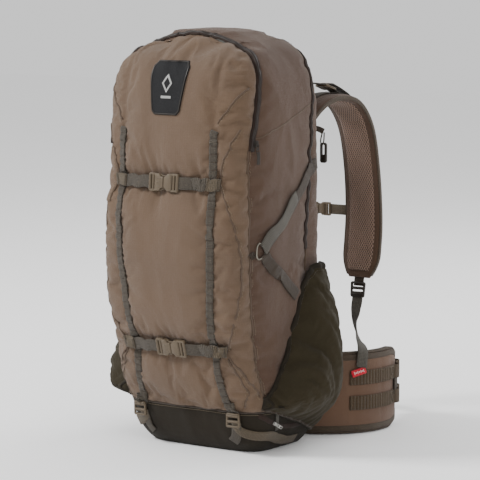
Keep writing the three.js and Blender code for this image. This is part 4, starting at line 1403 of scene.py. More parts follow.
def make_patch():
    """Tapered patch with cut corners, a raised rim and a plain sign: a lozenge over a bar."""
    low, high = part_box("logo_patch")
    height = high.z - low.z
    half_top = high.x - 0.0004
    middle_z = (low.z + high.z) / 2
    a, b = front_point(0.0, low.z + 0.01), front_point(0.0, high.z - 0.01)
    up = (b - a).normalized()
    out = Vector((1, 0, 0)).cross(up)
    h = height / 2 / max(up.z, 0.5)
    half_outline = [(0.62, -1), (0.78, -0.86), (1.0, 0.52), (1.0, 0.78), (0.8, 1)]
    outline = [(-half_outline[0][0] * half_top, half_outline[0][1] * h)]
    outline += [(x * half_top, y * h) for x, y in half_outline]
    outline += [(-x * half_top, y * h) for x, y in half_outline[:0:-1]]
    tree = tree_of(flap_cloth)

    def bent(obj, lift):
        """Lays a flat shape on the flap, point by point."""
        for v in obj.data.vertices:
            z = middle_z + v.co.y * up.z
            place = tree.ray_cast(Vector((v.co.x, -0.5, z)), Vector((0, 1, 0)))[0] or front_point(v.co.x, z)
            smooth = front_point(v.co.x, z) + Vector((0, -0.0022, 0))
            base = Vector((v.co.x, min(place.y, smooth.y), z))
            v.co = base + out * (v.co.z + lift)
        obj.data.update()
        return obj

    def refined(name, ring, thick, bevel, holes=()):
        obj = extruded(name, ring, thick, 0, holes)
        work = bmesh.new()
        work.from_mesh(obj.data)
        for axis in ((1, 0, 0), (0, 1, 0)):
            for k in range(-9, 10):
                place = Vector(axis) * k * 0.0045
                bmesh.ops.bisect_plane(work, geom=work.verts[:] + work.edges[:] + work.faces[:],
                                       plane_co=place, plane_no=axis)
        work.to_mesh(obj.data)
        work.free()
        if bevel:
            modifier(obj, "BEVEL", width=bevel, segments=2, limit_method="ANGLE",
                     angle_limit=math.radians(50))
            apply_modifiers(obj)
        obj.data.polygons.foreach_set("use_smooth", [True] * len(obj.data.polygons))
        obj.data.set_sharp_from_angle(angle=math.radians(50))
        return obj

    face = bent(refined("patch_face", outline, 0.0016, 0.0005), 0.0004)
    finish_piece(face, "front_flap", "patch", PATCH, "logo_patch")
    ring = [(x * 0.955, y * 0.965) for x, y in outline]
    edge = []
    for (x0, y0), (x1, y1) in zip(ring, ring[1:] + ring[:1]):
        count = max(int(math.hypot(x1 - x0, y1 - y0) / 0.003), 1)
        edge += [(x0 + (x1 - x0) * k / count, y0 + (y1 - y0) * k / count) for k in range(count)]
    edge.append(edge[0])
    rim_points = []
    for x, y in edge:
        z = middle_z + y * up.z
        place = tree.ray_cast(Vector((x, -0.5, z)), Vector((0, 1, 0)))[0] or front_point(x, z)
        rim_points.append(Vector((x, min(place.y, front_point(x, z).y - 0.0022), z)) + out * 0.0020)
    finish_piece(strip_from_rows("patch_rim", frames_along(rim_points, lambda i, p: out), 0.0014, 0.0007),
                 "front_flap", "patch", DARK_PLASTIC)
    lozenge = [(0, 22), (9.5, 7), (0, -8), (-9.5, 7)]
    opening = [(x * 0.66, 7 + (y - 7) * 0.66) for x, y in lozenge]
    bar_outline = [(-9.5, -13), (9.5, -13), (9.5, -17), (-9.5, -17)]
    signs = [refined("sign_lozenge", in_metres(lozenge), 0.0006, 0, [in_metres(opening)]),
             refined("sign_bar", in_metres(bar_outline), 0.0006, 0)]
    sign = bent(join("patch_sign", signs), 0.0019)
    finish_piece(sign, "front_flap", "patch", EMBLEM)


make_patch()


def moved_shape(outline, dx):
    return [(x + dx, y) for x, y in outline]


def make_slider(name, node, body, slot, material, along, out, length, with_cord=True):
    """Zip slider: wedge body, bridge, a punched metal tab and a cord loop or moulded end."""
    middle = centre_of(node)
    along, out = Vector(along).normalized(), Vector(out).normalized()
    body_shape = [(-0.5, -0.30), (-0.15, -0.34), (0.5, -0.26), (0.5, 0.26), (-0.15, 0.34), (-0.5, 0.30)]
    w = 0.0085
    parts = [extruded(name, [(x * w * 1.2, y * w) for x, y in body_shape], 0.0011, 0.0003),
             extruded(name + "_top", [(x * w * 1.1, y * w * 0.9) for x, y in body_shape], 0.0011, 0.0003)]
    parts[0].data.transform(Matrix.Translation((0, 0, -0.0016)))
    parts[1].data.transform(Matrix.Translation((0, 0, 0.0008)))
    parts.append(bar(name + "_bridge", (-0.003, 0, 0.0026), (0.003, 0, 0.0026), 0.0008))
    sheet = moved_shape(rounded_rect(length * 0.62, 0.0052, 0.0016), length * 0.30)
    holes = [moved_shape(rounded_rect(0.0050, 0.0026, 0.0008), length * 0.12),
             moved_shape(rounded_rect(0.0046, 0.0026, 0.0008), length * 0.48)]
    tab = extruded(name + "_tab", sheet, 0.0011, 0.0003, holes)
    tab.data.transform(Matrix.Translation((0, 0, 0.0024)))
    parts.append(tab)
    slider = join(name + "_metal", parts)
    place_at(slider, middle - out * 0.0012, along, out)
    finish_piece(slider, body, slot, material, node)
    if not with_cord:
        return
    start = middle + along * length * 0.48 + out * 0.0018
    pull = [start, start + along * 0.006 + out * 0.0010, start + along * length * 0.75]
    rows = frames_along(smooth_curve(pull, 14), lambda i, p: out)
    finish_piece(strip_from_rows(name + "_pull", rows, 0.0058, 0.0022), body, slot, DARK_PLASTIC)


FRONT_SLIDER = centre_of("front_zip_slider")
MAIN_SLIDER = centre_of("main_zip_slider")
COVER_SLIDER = centre_of("rain_cover_zip_slider")


def outward(p):
    return nearest_on(BAG_TREE, p)[1]


make_slider("front_slider", "front_zip_slider", "front_zip_slider", "zip_slider", DARK_PLASTIC,
            (0, 0.05, -1), outward(FRONT_SLIDER), 0.026)
make_slider("main_slider", "main_zip_slider", "main_zip_slider", "zip_slider", DARK_PLASTIC,
            (0, 0.05, -1), outward(MAIN_SLIDER), 0.026)
make_slider("cover_slider", "rain_cover_zip_slider", "rain_cover_zip_slider", "zip_slider", SILVER,
            (0.1, 0.75, -0.45), outward(COVER_SLIDER), 0.022, False)


# ------------------------------------------------------------------ side pockets
POCKET_LOW, POCKET_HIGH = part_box("side_pocket_right")
POCKET_FRONT_Y, POCKET_REAR_Y = POCKET_LOW.y, POCKET_HIGH.y
POCKET_LOW_Z = POCKET_LOW.z
POCKET_BULGE = 0.064


def pocket_mouth_z(y):
    """Mouth height: low at the front, with a long slant and a level rear part."""
    if y < -0.018:
        return 0.084 + ((y - POCKET_FRONT_Y) / (-0.018 - POCKET_FRONT_Y)) * 0.081
    if y < 0.046:
        return 0.165 + ((y + 0.018) / 0.064) * 0.136
    return 0.301 - (y - 0.046) * 0.10


def smooth_mouth_z(y):
    return sum(pocket_mouth_z(min(max(y + d, POCKET_FRONT_Y), POCKET_REAR_Y))
               for d in (-0.014, -0.005, 0.005, 0.014)) / 4


def side_x(y, z):
    half, middle, depth = profile_at(z)
    share = min(abs((y - middle) / depth), 0.985)
    power = corner_power(z, y < middle)
    return half * (1 - share ** power) ** (1 / power)


def pocket_point(u, v, sign):
    """u runs from the front edge to the rear, v from the low edge to the mouth."""
    y = POCKET_FRONT_Y + u * (POCKET_REAR_Y - POCKET_FRONT_Y)
    low_z = POCKET_LOW_Z + 0.062 * (1 - u) ** 0.9
    z = low_z + v * (smooth_mouth_z(y) - low_z)
    along = math.sin(math.pi * min(u ** 1.05, 1.0)) ** 0.36
    rise = math.sin(0.5 * math.pi * min(v / 0.3, 1)) ** 0.7
    hug = 0.95 - 0.30 * blob(u, 0.84, 0.13)
    fall = 1 - hug * max((v - 0.45) / 0.55, 0) ** 1.5
    bulge = POCKET_BULGE * along * rise * fall
    inside = min(u, 1 - u, v * 0.8) * 8
    soft = min(inside, 1.0)
    diagonal = u * 1.1 + v * 0.55
    folds = 0.0050 * noise.noise(Vector((diagonal * 7.5, v * 1.6, 4.0 + sign)))
    folds += 0.0036 * noise.noise(Vector((diagonal * 15, v * 3.5, 9.0 + sign)))
    folds += 0.0015 * noise.noise(Vector((u * 24, v * 26, 2.0 + sign)))
    crease = 0.0075 * math.exp(-((u - 0.34 - 0.42 * (1 - v)) / 0.045) ** 2) * clamp((v - 0.12) * 3)
    gather = 0.0022 * math.sin(70 * u + 5 * noise.noise(Vector((u * 6, 0, 1)))) * math.exp(-v / 0.05)
    gather += 0.0007 * math.sin(84 * u) * math.exp(-(1 - v) / 0.05) * min(u * 5, 1.0)
    lift = 0.0026 + bulge + (folds - crease) * soft + gather * min(u * 8, (1 - u) * 8, 1.0)
    return Vector((sign * (side_x(min(y, 0.096), z) + max(lift, 0.0026)), y, z))


def make_pocket(side, sign):
    rows = [[pocket_point(j / 56, i / 64, sign) for j in range(57)] for i in range(65)]
    if sign < 0:
        rows = [row[::-1] for row in rows]
    cloth = grid_object(f"pocket_cloth_{side}", rows)
    settle_cloth(cloth, 0.045, 2.0, 0.006)
    cloth.data.materials.append(STRETCH_FABRIC)
    cloth.data.materials.append(DARK_FABRIC)
    modifier(cloth, "SOLIDIFY", thickness=0.0018, offset=-1.0, material_offset=1)
    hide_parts(f"side_pocket_{side}")
    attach(cloth, "bag")
    tree = tree_of(cloth)
    mouth = [pocket_point(j / 60, 0.985, sign) for j in range(61)]
    finish_piece(hugging_strip(f"pocket_hem_{side}", mouth, tree, 0.0095, 0.0009, 0.0004, 110, 0.0012),
                 "bag", "dark_fabric", DARK_FABRIC)
    stitches(f"pocket_stitches_{side}", [pocket_point(j / 60, 0.955, sign) for j in range(61)], tree,
             WEBBING)
    low_edge = [pocket_point(j / 60, 0.012, sign) for j in range(61)]
    finish_piece(hugging_strip(f"pocket_low_seam_{side}", low_edge, tree, 0.0050, 0.0008, 0.0002, 90,
                               0.0010), "bag", "dark_fabric", DARK_WEBBING)
    for k, u in enumerate((0.012, 0.988)):
        edge = [pocket_point(u, i / 40, sign) for i in range(41)]
        finish_piece(hugging_strip(f"pocket_edge_{side}_{k}", edge, tree, 0.0044, 0.0007, 0.0002, 80,
                                   0.0008), "bag", "dark_fabric", DARK_FABRIC)


for side, sign in SIDES:
    make_pocket(side, sign)


# ------------------------------------------------------------------ side straps, rings and base hardware
RING_NODE_CENTRES = {side: centre_of(f"side_ring_{side}") for side, sign in SIDES}


def make_ring(side):
    """Bent wire ring, a little triangular, that lies against the side."""
    low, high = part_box(f"side_ring_{side}")
    middle = RING_NODE_CENTRES[side]
    wide = (high.y - low.y) / 2 - 0.0010
    tall = (high.z - low.z) / 2 - 0.0010
    points = []
    for k in range(41):
        a = 2 * math.pi * k / 40
        radius = 1.0 + 0.10 * math.cos(3 * a + 0.4)
        points.append(middle
                      + Vector((0, wide * radius * 0.93 * math.cos(a), tall * radius * 0.93 * math.sin(a))))
    stations = []
    for k, p in enumerate(points[:-1]):
        along = (points[k + 1] - points[k - 1 if k else -2]).normalized()
        across = Vector((1, 0, 0))
        out = along.cross(across)
        stations.append([p + (across * math.cos(b) + out * math.sin(b)) * 0.0013
                         for b in [2 * math.pi * n / 10 for n in range(10)]])
    uvs = [(p.y, p.z) for s in stations for p in s]
    ring = fix_normals(loft_object(f"wire_ring_{side}", stations, True, uvs))
    finish_piece(ring, "bag", "wire", WIRE, f"side_ring_{side}")


def side_point(sign, y, z, lift=0.0):
    p = ring_point(sign * turn_at(y, z), z)
    return p + outward(p) * lift


def make_side_straps(side, sign):
    """Compression webbing from rear anchor to ring to pocket edge, a free tail and the ring's keeper."""
    ring = RING_NODE_CENTRES[side]
    reach = abs(ring.x)
    upper = [(0.083, 0.456), (0.055, 0.446), (0.020, 0.414), (-0.020, 0.380), (-0.055, 0.351)]
    points = [side_point(sign, y, z, 0.0015) for y, z in upper]
    points.append(Vector((sign * (reach + 0.0005), ring.y + 0.008, ring.z + 0.005)))
    web = draped_webbing(f"side_upper_web_{side}", points, BAG_TREE, STRAP_WIDTH, STRAP_THICK, 0.0018, 14,
                         70)
    finish_piece(web, "bag", "webbing", DARK_WEBBING, f"side_strap_upper_{side}")
    tail_points = [Vector((sign * (reach + 0.0018), ring.y + 0.004, ring.z + 0.002)),
                   side_point(sign, -0.058, 0.352, 0.0062), side_point(sign, -0.030, 0.374, 0.0070),
                   side_point(sign, -0.002, 0.400, 0.0075), side_point(sign, 0.010, 0.412, 0.0060)]
    tail = draped_webbing(f"side_tail_{side}", tail_points, BAG_TREE, STRAP_WIDTH, 0.0018, 0.0042, 6, 50)
    finish_piece(tail, "bag", "webbing", GREY_WEBBING)
    end = side_point(sign, 0.008, 0.410, 0.0078)
    normal = outward(end)
    along = Vector((0, 0.012, 0.012)).normalized()
    across = normal.cross(along).normalized()
    bar_tack(f"side_tail_tack_{side}", end + normal * 0.0006, across, along, normal, 0.017, "bag",
             DARK_WEBBING)
    lower = [Vector((sign * (reach + 0.0005), ring.y + 0.008, ring.z - 0.005)),
             side_point(sign, -0.052, 0.305, 0.002),
             side_point(sign, -0.028, 0.285, 0.002), side_point(sign, -0.006, 0.266, 0.003),
             side_point(sign, 0.010, 0.253, 0.004)]
    web = draped_webbing(f"side_lower_web_{side}", lower, BAG_TREE, STRAP_WIDTH, STRAP_THICK, 0.0018, 8, 60)
    finish_piece(web, "bag", "webbing", DARK_WEBBING, f"side_strap_lower_{side}")
    for k, (y, z, slope) in enumerate(((0.072, 0.4525, 0.5), (-0.008, 0.2665, -0.8))):
        p = side_point(sign, y, z, 0.0044)
        normal = outward(p)
        along = Vector((0, 1, slope)).normalized()
        across = normal.cross(along).normalized()
        bar_tack(f"side_strap_tack_{side}_{k}", p, across, along, normal, 0.0165, "bag", TAN_WEBBING)
    keeper = [side_point(sign, -0.098, 0.322, 0.0006), side_point(sign, -0.094, 0.325, 0.0030),
              Vector((sign * (reach + 0.0012), ring.y - 0.011, ring.z - 0.004))]
    loop = draped_webbing(f"ring_keeper_{side}", keeper, BAG_TREE, 0.011, 0.0015, 0.0008, 2, 16)
    finish_piece(loop, "bag", "webbing", DARK_WEBBING)


for side, sign in SIDES:
    make_ring(side)
    make_side_straps(side, sign)


def base_point(sign, x, z, lift=0.0):
    """Point of the base's front or corner at a given x."""
    p = front_point(sign * x, z)
    return p + outward(p) * lift


def make_base_hardware(side, sign):
    """Ladder-lock on a short tab, the bottom strap that runs back under the corner, and a spare loop."""
    node = f"bottom_ladder_lock_{side}"
    middle = centre_of(node)
    normal = outward(middle)
    flat = Vector((normal.x, normal.y, normal.z * 0.3)).normalized()
    lock = ladder_lock(f"base_lock_{side}", 0.0255, 0.0235, 0.0052)
    x_axis = Vector((0, 0, 1)).cross(flat)
    place_at(lock, middle, -x_axis, flat)
    finish_piece(lock, "bag", "buckle_plastic", BUCKLE, node)
    top = [base_point(sign, 0.087, 0.086, 0.0012), base_point(sign, 0.0885, 0.076, 0.0022),
           middle + Vector((0, 0, 0.007)) + flat * 0.0008]
    tab = draped_webbing(f"base_tab_{side}", top, BAG_TREE, 0.0185, 0.0017, 0.0010, 3, 24)
    finish_piece(tab, "bag", "webbing", WEBBING)
    out_point = middle - Vector((0, 0, 0.006)) + flat * 0.0012
    down = [out_point, base_point(sign, 0.094, 0.042, 0.0050), side_point(sign, -0.030, 0.030, 0.0032),
            side_point(sign, -0.004, 0.021, 0.0030), side_point(sign, 0.028, 0.0145, 0.0030),
            side_point(sign, 0.052, 0.0130, 0.0026)]
    strap = draped_webbing(f"base_strap_web_{side}", down, BAG_TREE, 0.0175, 0.0017, 0.0010, 10, 90)
    finish_piece(strap, "bag", "webbing", TAN_WEBBING, f"bottom_strap_{side}")
    tail = [out_point + flat * 0.0018, middle - Vector((0, 0, 0.016)) + flat * 0.0050,
            base_point(sign, 0.086, 0.030, 0.0075), base_point(sign, 0.078, 0.021, 0.0060)]
    web = draped_webbing(f"base_tail_{side}", tail, BAG_TREE, 0.0175, 0.0016, 0.0010, 3, 34)
    finish_piece(web, "bag", "webbing", WEBBING)
    loop = [side_point(sign, -0.020, 0.064, 0.0006), side_point(sign, -0.018, 0.054, 0.0060),
            side_point(sign, -0.015, 0.044, 0.0062), side_point(sign, -0.013, 0.036, 0.0006)]
    spare = draped_webbing(f"base_loop_{side}", loop, BAG_TREE, 0.0085, 0.0015, 0.0004, 0, 26)
    finish_piece(spare, "bag", "webbing", GREY_WEBBING)


for side, sign in SIDES:
    make_base_hardware(side, sign)

cover_zip_line = [side_point(1, -0.058, 0.066), side_point(1, -0.046, 0.060), side_point(1, -0.034, 0.0535),
                  side_point(1, -0.020, 0.047), side_point(1, 0.004, 0.040), side_point(1, 0.036, 0.037),
                  side_point(1, 0.070, 0.037)]
cover_tape = hugging_strip("cover_zip_tape", cover_zip_line, BAG_TREE, 0.0085, 0.0007, 0.0003, 70)
finish_piece(cover_tape, "bag", "dark_fabric", ZIP_TAPE)
cover_teeth = teeth_along("cover_zip_teeth", cover_zip_line, tree_of(cover_tape), 0.0026,
                          (0.0016, 0.0034, 0.0007), 0.0002)
finish_piece(cover_teeth, "bag", "dark_fabric", ZIP_TEETH)


# ------------------------------------------------------------------ padded parts
def padded_rows(name, rows, widths, thick, material, power=2.6, points=28, puff=0.0008, seed=0.0):
    """Foam strip with a pillow-like section along rows of (point, across, out)."""
    stations, uvs = [], []
    length = 0.0
    for i, (p, across, out) in enumerate(rows):
        if i:
            length += (p - rows[i - 1][0]).length
        ring = []
        depth = thick[i] if isinstance(thick, list) else thick
        for k in range(points):
            a = 2 * math.pi * k / points
            c, s = math.cos(a), math.sin(a)
            x = widths[i] / 2 * math.copysign(abs(c) ** (2 / (power * 1.9)), c)
            y = depth / 2 * math.copysign(abs(s) ** (2 / power), s)
            bulge = puff * noise.noise(Vector((x * 22 + seed, length * 16, y * 30 + seed)))
            bulge += puff * 0.5 * noise.noise(Vector((x * 60, length * 55 + seed, 3.0)))
            ring.append(p + across * x + out * (y + math.copysign(bulge, s) * min(abs(s) * 2, 1.0)))
            uvs.append((x, length))
        stations.append(ring)
    obj = fix_normals(loft_object(name, stations, uvs=uvs))
    obj.data.materials.append(material)
    return obj


def cushion(name, low, high, material, rings=22, sectors=72, power=4.5, height=None):
    """Pad that lies on the back panel: low and high are (x, z) corners; height(s, x, z) gives its y."""
    cx, cz = (low[0] + high[0]) / 2, (low[1] + high[1]) / 2
    hw, hh = (high[0] - low[0]) / 2, (high[1] - low[1]) / 2
    vertices, faces, uvs = [], [], []
    levels = [(k / rings) ** 0.8 for k in range(1, rings + 1)]
    for t in levels:
        for j in range(sectors):
            a = 2 * math.pi * j / sectors
            c, s = math.cos(a), math.sin(a)
            reach = (abs(c) ** power + abs(s) ** power) ** (-1 / power)
            x, z = cx + hw * reach * c * t, cz + hh * reach * s * t
            vertices.append(Vector((x, height(t, x, z), z)))
            uvs.append((x, z))
    centre = len(vertices)
    vertices.append(Vector((cx, height(0.0, cx, cz), cz)))
    uvs.append((cx, cz))
    for j in range(sectors):
        k = (j + 1) % sectors
        faces.append((centre, j, k))
        for i in range(rings - 1):
            faces.append((i * sectors + j, (i + 1) * sectors + j, (i + 1) * sectors + k, i * sectors + k))
    edge = (rings - 1) * sectors
    back = len(vertices)
    for j in range(sectors):
        p = vertices[edge + j]
        vertices.append(Vector((p.x, BACK_FACE_Y - 0.0012, p.z)))
        uvs.append((p.x, p.z + 0.004))
    for j in range(sectors):
        k = (j + 1) % sectors
        faces.append((edge + j, back + j, back + k, edge + k))
    faces.append(tuple(back + j for j in range(sectors - 1, -1, -1)))
    obj = fix_normals(new_object(name, vertices, faces, uvs))
    obj.data.materials.append(material)
    return obj


BACK_FACE_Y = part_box("back_pad")[0].y


def pad_height(thick, seams=()):
    """Height of a cushion: full in the middle, falling to a thin bound edge, with grooves at x or z lines."""
    def height(t, x, z):
        top = thick * (1 - 0.80 * max(t - 0.55, 0.0) ** 1.6 / 0.45 ** 1.6)
        for axis, place, width, depth in seams:
            value = x if axis == "x" else z
            top -= depth * math.exp(-((value - place) / width) ** 2) * clamp((1 - t) * 6)
        top += 0.0009 * noise.noise(Vector((x * 26, 1.0, z * 22))) * min((1 - t) * 5, 1.0)
        return BACK_FACE_Y + max(top, 0.0014)
    return height


def box_corners(node):
    low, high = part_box(node)
    return (low.x, low.z), (high.x, high.z), high.y - low.y


low, high, thick = box_corners("back_pad")
pad_seams = [("x", 0.0, 0.011, thick * 0.62), ("x", 0.052, 0.004, thick * 0.22),
             ("x", -0.052, 0.004, thick * 0.22)]
pad_seams += [("z", z, 0.0055, thick * 0.36) for z in (0.212, 0.272, 0.332, 0.392)]
back_pad = cushion("back_pad_mesh", low, high, MESH, 34, 110, 6.0, pad_height(thick, pad_seams))
finish_piece(back_pad, "bag", "mesh_lining", MESH, "back_pad")
low, high, thick = box_corners("lumbar_pad")
lumbar = cushion("lumbar_pad_mesh", low, high, MESH, 26, 84, 4.0,
                 pad_height(thick, [("x", 0.0, 0.008, thick * 0.3), ("z", 0.08, 0.005, thick * 0.22)]))
finish_piece(lumbar, "bag", "mesh_lining", MESH, "lumbar_pad")
low, high, thick = box_corners("shoulder_yoke")
yoke = cushion("yoke_cloth", low, high, SIDE_FABRIC, 20, 84, 5.0,
               pad_height(thick, [("z", 0.476, 0.004, 0.0020)]))
finish_piece(yoke, "bag", "side_fabric", SIDE_FABRIC, "shoulder_yoke")


def rim_of(node, inset, power):
    """Closed path round a pad, a little inside its outline."""
    low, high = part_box(node)
    cx, cz = (low.x + high.x) / 2, (low.z + high.z) / 2
    hw, hh = (high.x - low.x) / 2 - inset, (high.z - low.z) / 2 - inset
    points = []
    for j in range(97):
        a = 2 * math.pi * j / 96
        c, s = math.cos(a), math.sin(a)
        reach = (abs(c) ** power + abs(s) ** power) ** (-1 / power)
        points.append(Vector((cx + hw * reach * c, high.y, cz + hh * reach * s)))
    return points


for name, obj, power in (("back_pad", back_pad, 6.0), ("lumbar_pad", lumbar, 4.0),
                         ("shoulder_yoke", yoke, 5.0)):
    tree = tree_of(obj)
    finish_piece(hugging_strip(f"{name}_binding", rim_of(name, 0.0045, power), tree, 0.0080, 0.0008, 0.0003,
                               190, 0.0008), "bag", "side_fabric", BINDING)
    stitches(f"{name}_stitches", rim_of(name, 0.0100, power), tree, THREAD)


# ------------------------------------------------------------------ shoulder straps
STRAP_ROUTE = ((0.060, 0.121, 0.487), (0.064, 0.137, 0.514), (0.068, 0.166, 0.542), (0.075, 0.207, 0.553),
               (0.085, 0.248, 0.542), (0.092, 0.277, 0.500), (0.096, 0.290, 0.430), (0.098, 0.294, 0.350),
               (0.098, 0.289, 0.290), (0.098, 0.281, 0.246))
PAD_WIDTH = 0.070
PAD_THICK = 0.0125
STERNUM_Z = centre_of("sternum_buckle_female").z
STERNUM_TRAVEL = 0.056


def mirror_x(points, sign):
    return [Vector((sign * p[0], p[1], p[2])) for p in points]


def strap_rows(sign, steps):
    points = smooth_curve(mirror_x(STRAP_ROUTE, sign), steps)
    rows = []
    last = len(points) - 1
    for i, p in enumerate(points):
        along = (points[min(i + 1, last)] - points[max(i - 1, 0)]).normalized()
        across = (Vector((1, 0, 0)) - along * along.x).normalized()
        rows.append((p, across, across.cross(along).normalized()))
    return rows


def strap_width(t):
    start = 0.74 + 0.26 * min(t / 0.15, 1)
    end = 1 - 0.42 * max((t - 0.91) / 0.09, 0) ** 2
    waist = 1 - 0.05 * math.sin(math.pi * clamp((t - 0.25) / 0.6))
    return PAD_WIDTH * start * end * waist


def make_strap(side, sign):
    steps = 120
    rows = strap_rows(sign, steps)
    widths = [strap_width(i / steps) for i in range(steps + 1)]
    thick = []
    for i in range(steps + 1):
        t = i / steps
        crimp = 0.0011 * math.exp(-((t - 0.42) / 0.02) ** 2) + 0.0009 * math.exp(-((t - 0.56) / 0.018) ** 2)
        crimp += 0.0016 * math.exp(-((t - 0.905) / 0.010) ** 2)
        thick.append(PAD_THICK * (0.55 + 0.45 * min(t / 0.1, 1, (1 - t) / 0.03)) - crimp)
    core = padded_rows(f"strap_pad_{side}", rows, widths, thick, SIDE_FABRIC, 2.4, 30, 0.0011, 3.0 + sign)
    finish_piece(core, "harness", "side_fabric", SIDE_FABRIC, f"shoulder_strap_{side}")
    tree = tree_of(core)
    mesh_rows = []
    for i in range(4, steps - 2):
        p, across, out = rows[i]
        line = []
        for k in range(17):
            s = 2 * k / 16 - 1
            q = p + across * s * widths[i] * 0.355
            place = tree.ray_cast(q - out * 0.03, out)[0] or q - out * thick[i] / 2
            dome = 0.0016 * (1 - s ** 4) - 0.0008 * abs(s) ** 8
            crimp = 0.0012 * (math.exp(-((i / steps - 0.42) / 0.012) ** 2)
                              + math.exp(-((i / steps - 0.56) / 0.012) ** 2)
                              + 1.4 * math.exp(-((i / steps - 0.905) / 0.007) ** 2))
            line.append(place - out * (0.0003 + dome - crimp * (1 - s * s)))
        mesh_rows.append(line)
    face = grid_object(f"strap_mesh_{side}", mesh_rows)
    modifier(face, "SOLIDIFY", thickness=0.0016, offset=0.0)
    finish_piece(face, "harness", "mesh_lining", MESH)
    for k, s in enumerate((-1, 1)):
        line = [p + across * s * w * 0.5 for (p, across, out), w in zip(rows, widths)]
        outs = [across * s for (p, across, out), w in zip(rows, widths)]
        edge_rows = []
        for i, p in enumerate(line):
            out = outs[i]
            edge_rows.append((p - out * 0.0022, rows[i][2], out))
        finish_piece(strip_from_rows(f"strap_binding_{side}_{k}", edge_rows[1:-1], PAD_THICK * 0.62,
                                     0.0032), "harness", "side_fabric", BINDING)
        seam = [p - out * 0.02 + across * s * w * 0.375 for (p, across, out),
                w in zip(rows[4:-3], widths[4:-3])]
        stitches(f"strap_seam_{side}_{k}", seam, tree_of(face, core), THREAD, "harness", "side_fabric")
    outer_rows = []
    for i in range(10, 112):
        p, across, out = rows[i]
        place = tree.ray_cast(p + out * 0.03, -out)[0] or p
        outer_rows.append((place + out * 0.0004, across, out))
    finish_piece(strip_from_rows(f"strap_web_{side}", outer_rows, STRAP_WIDTH, STRAP_THICK), "harness",
                 "webbing",
                 DARK_WEBBING)
    for k, i in enumerate(range(14, 104, 9)):
        p, across, out = outer_rows[min(i - 10, len(outer_rows) - 1)]
        if abs(p.z - STERNUM_Z) < STERNUM_TRAVEL:
            continue
        bar_tack(f"strap_tack_{side}_{k}", p + out * 0.0017, across, out.cross(across), out, 0.0165,
                 "harness", TAN_WEBBING)
    return rows, tree


STRAPS = {side: make_strap(side, sign) for side, sign in SIDES}


def lifter_rows(points, steps, outs):
    path = smooth_curve(points, steps)
    rows = []
    last = len(path) - 1
    for i, p in enumerate(path):
        t = i / last * (len(outs) - 1)
        k = min(int(t), len(outs) - 2)
        out = outs[k].lerp(outs[k + 1], t - k).normalized()
        along = (path[min(i + 1, last)] - path[max(i - 1, 0)]).normalized()
        across = along.cross(out).normalized()
        rows.append((p, across, across.cross(along).normalized()))
    return rows


def make_load_lifter(side, sign):
    middle = centre_of(f"load_lifter_buckle_{side}")
    along = Vector((sign * 0.05, 0.94, -0.30)).normalized()
    up = (Vector((0, 0.3, 1)) - along * along.dot(Vector((0, 0.3, 1)))).normalized()
    lock = ladder_lock(f"lifter_lock_{side}", 0.0285, 0.0262, 0.0060)
    place_at(lock, middle, along.cross(up), up)
    finish_piece(lock, "harness", "buckle_plastic", BUCKLE, f"load_lifter_buckle_{side}")
    node_low, node_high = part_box(f"load_lifter_{side}")
    start = Vector((sign * 0.070, node_low.y - 0.0012, node_high.z - 0.008))
    end = middle - along * 0.004 + up * 0.0024
    path = [start, start.lerp(end, 0.33) + Vector((0, 0, -0.0012)), start.lerp(end, 0.66), end]
    rows = lifter_rows(path, 44, [Vector((0, 0.2, 1)), Vector((0, 0.26, 1)), up])
    web = strip_from_rows(f"lifter_web_{side}", rows, STRAP_WIDTH, STRAP_THICK)
    web.data.materials.append(WEBBING)
    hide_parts(f"load_lifter_{side}")
    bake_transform(web)
    rows_s, tree = STRAPS[side]
    nearest_row = min(range(80), key=lambda i: (rows_s[i][0] - middle).length)
    tab, outs = [middle + along * 0.004 + up * 0.0012], [up]
    for i in (nearest_row + 5, nearest_row + 9, nearest_row + 14):
        anchor, across, out = rows_s[i]
        place = tree.ray_cast(anchor + out * 0.03, -out)[0] or anchor
        tab.append(place + out * 0.0026)
        outs.append(out)
    rows = lifter_rows(tab, 24, outs)
    finish_piece(strip_from_rows(f"lifter_tab_{side}", rows, 0.0190, 0.0017), "harness", "webbing", WEBBING)
    loose = [end + up * 0.0016, end + along * 0.014 + up * 0.0046]
    loose += [p + out * 0.0050 for p, out in zip(tab[2:], outs[2:])]
    rows = lifter_rows(loose, 30, [up, up] + outs[2:])
    finish_piece(strip_from_rows(f"lifter_tail_{side}", rows, 0.0190, 0.0016), "harness", "webbing",
                 DARK_WEBBING)


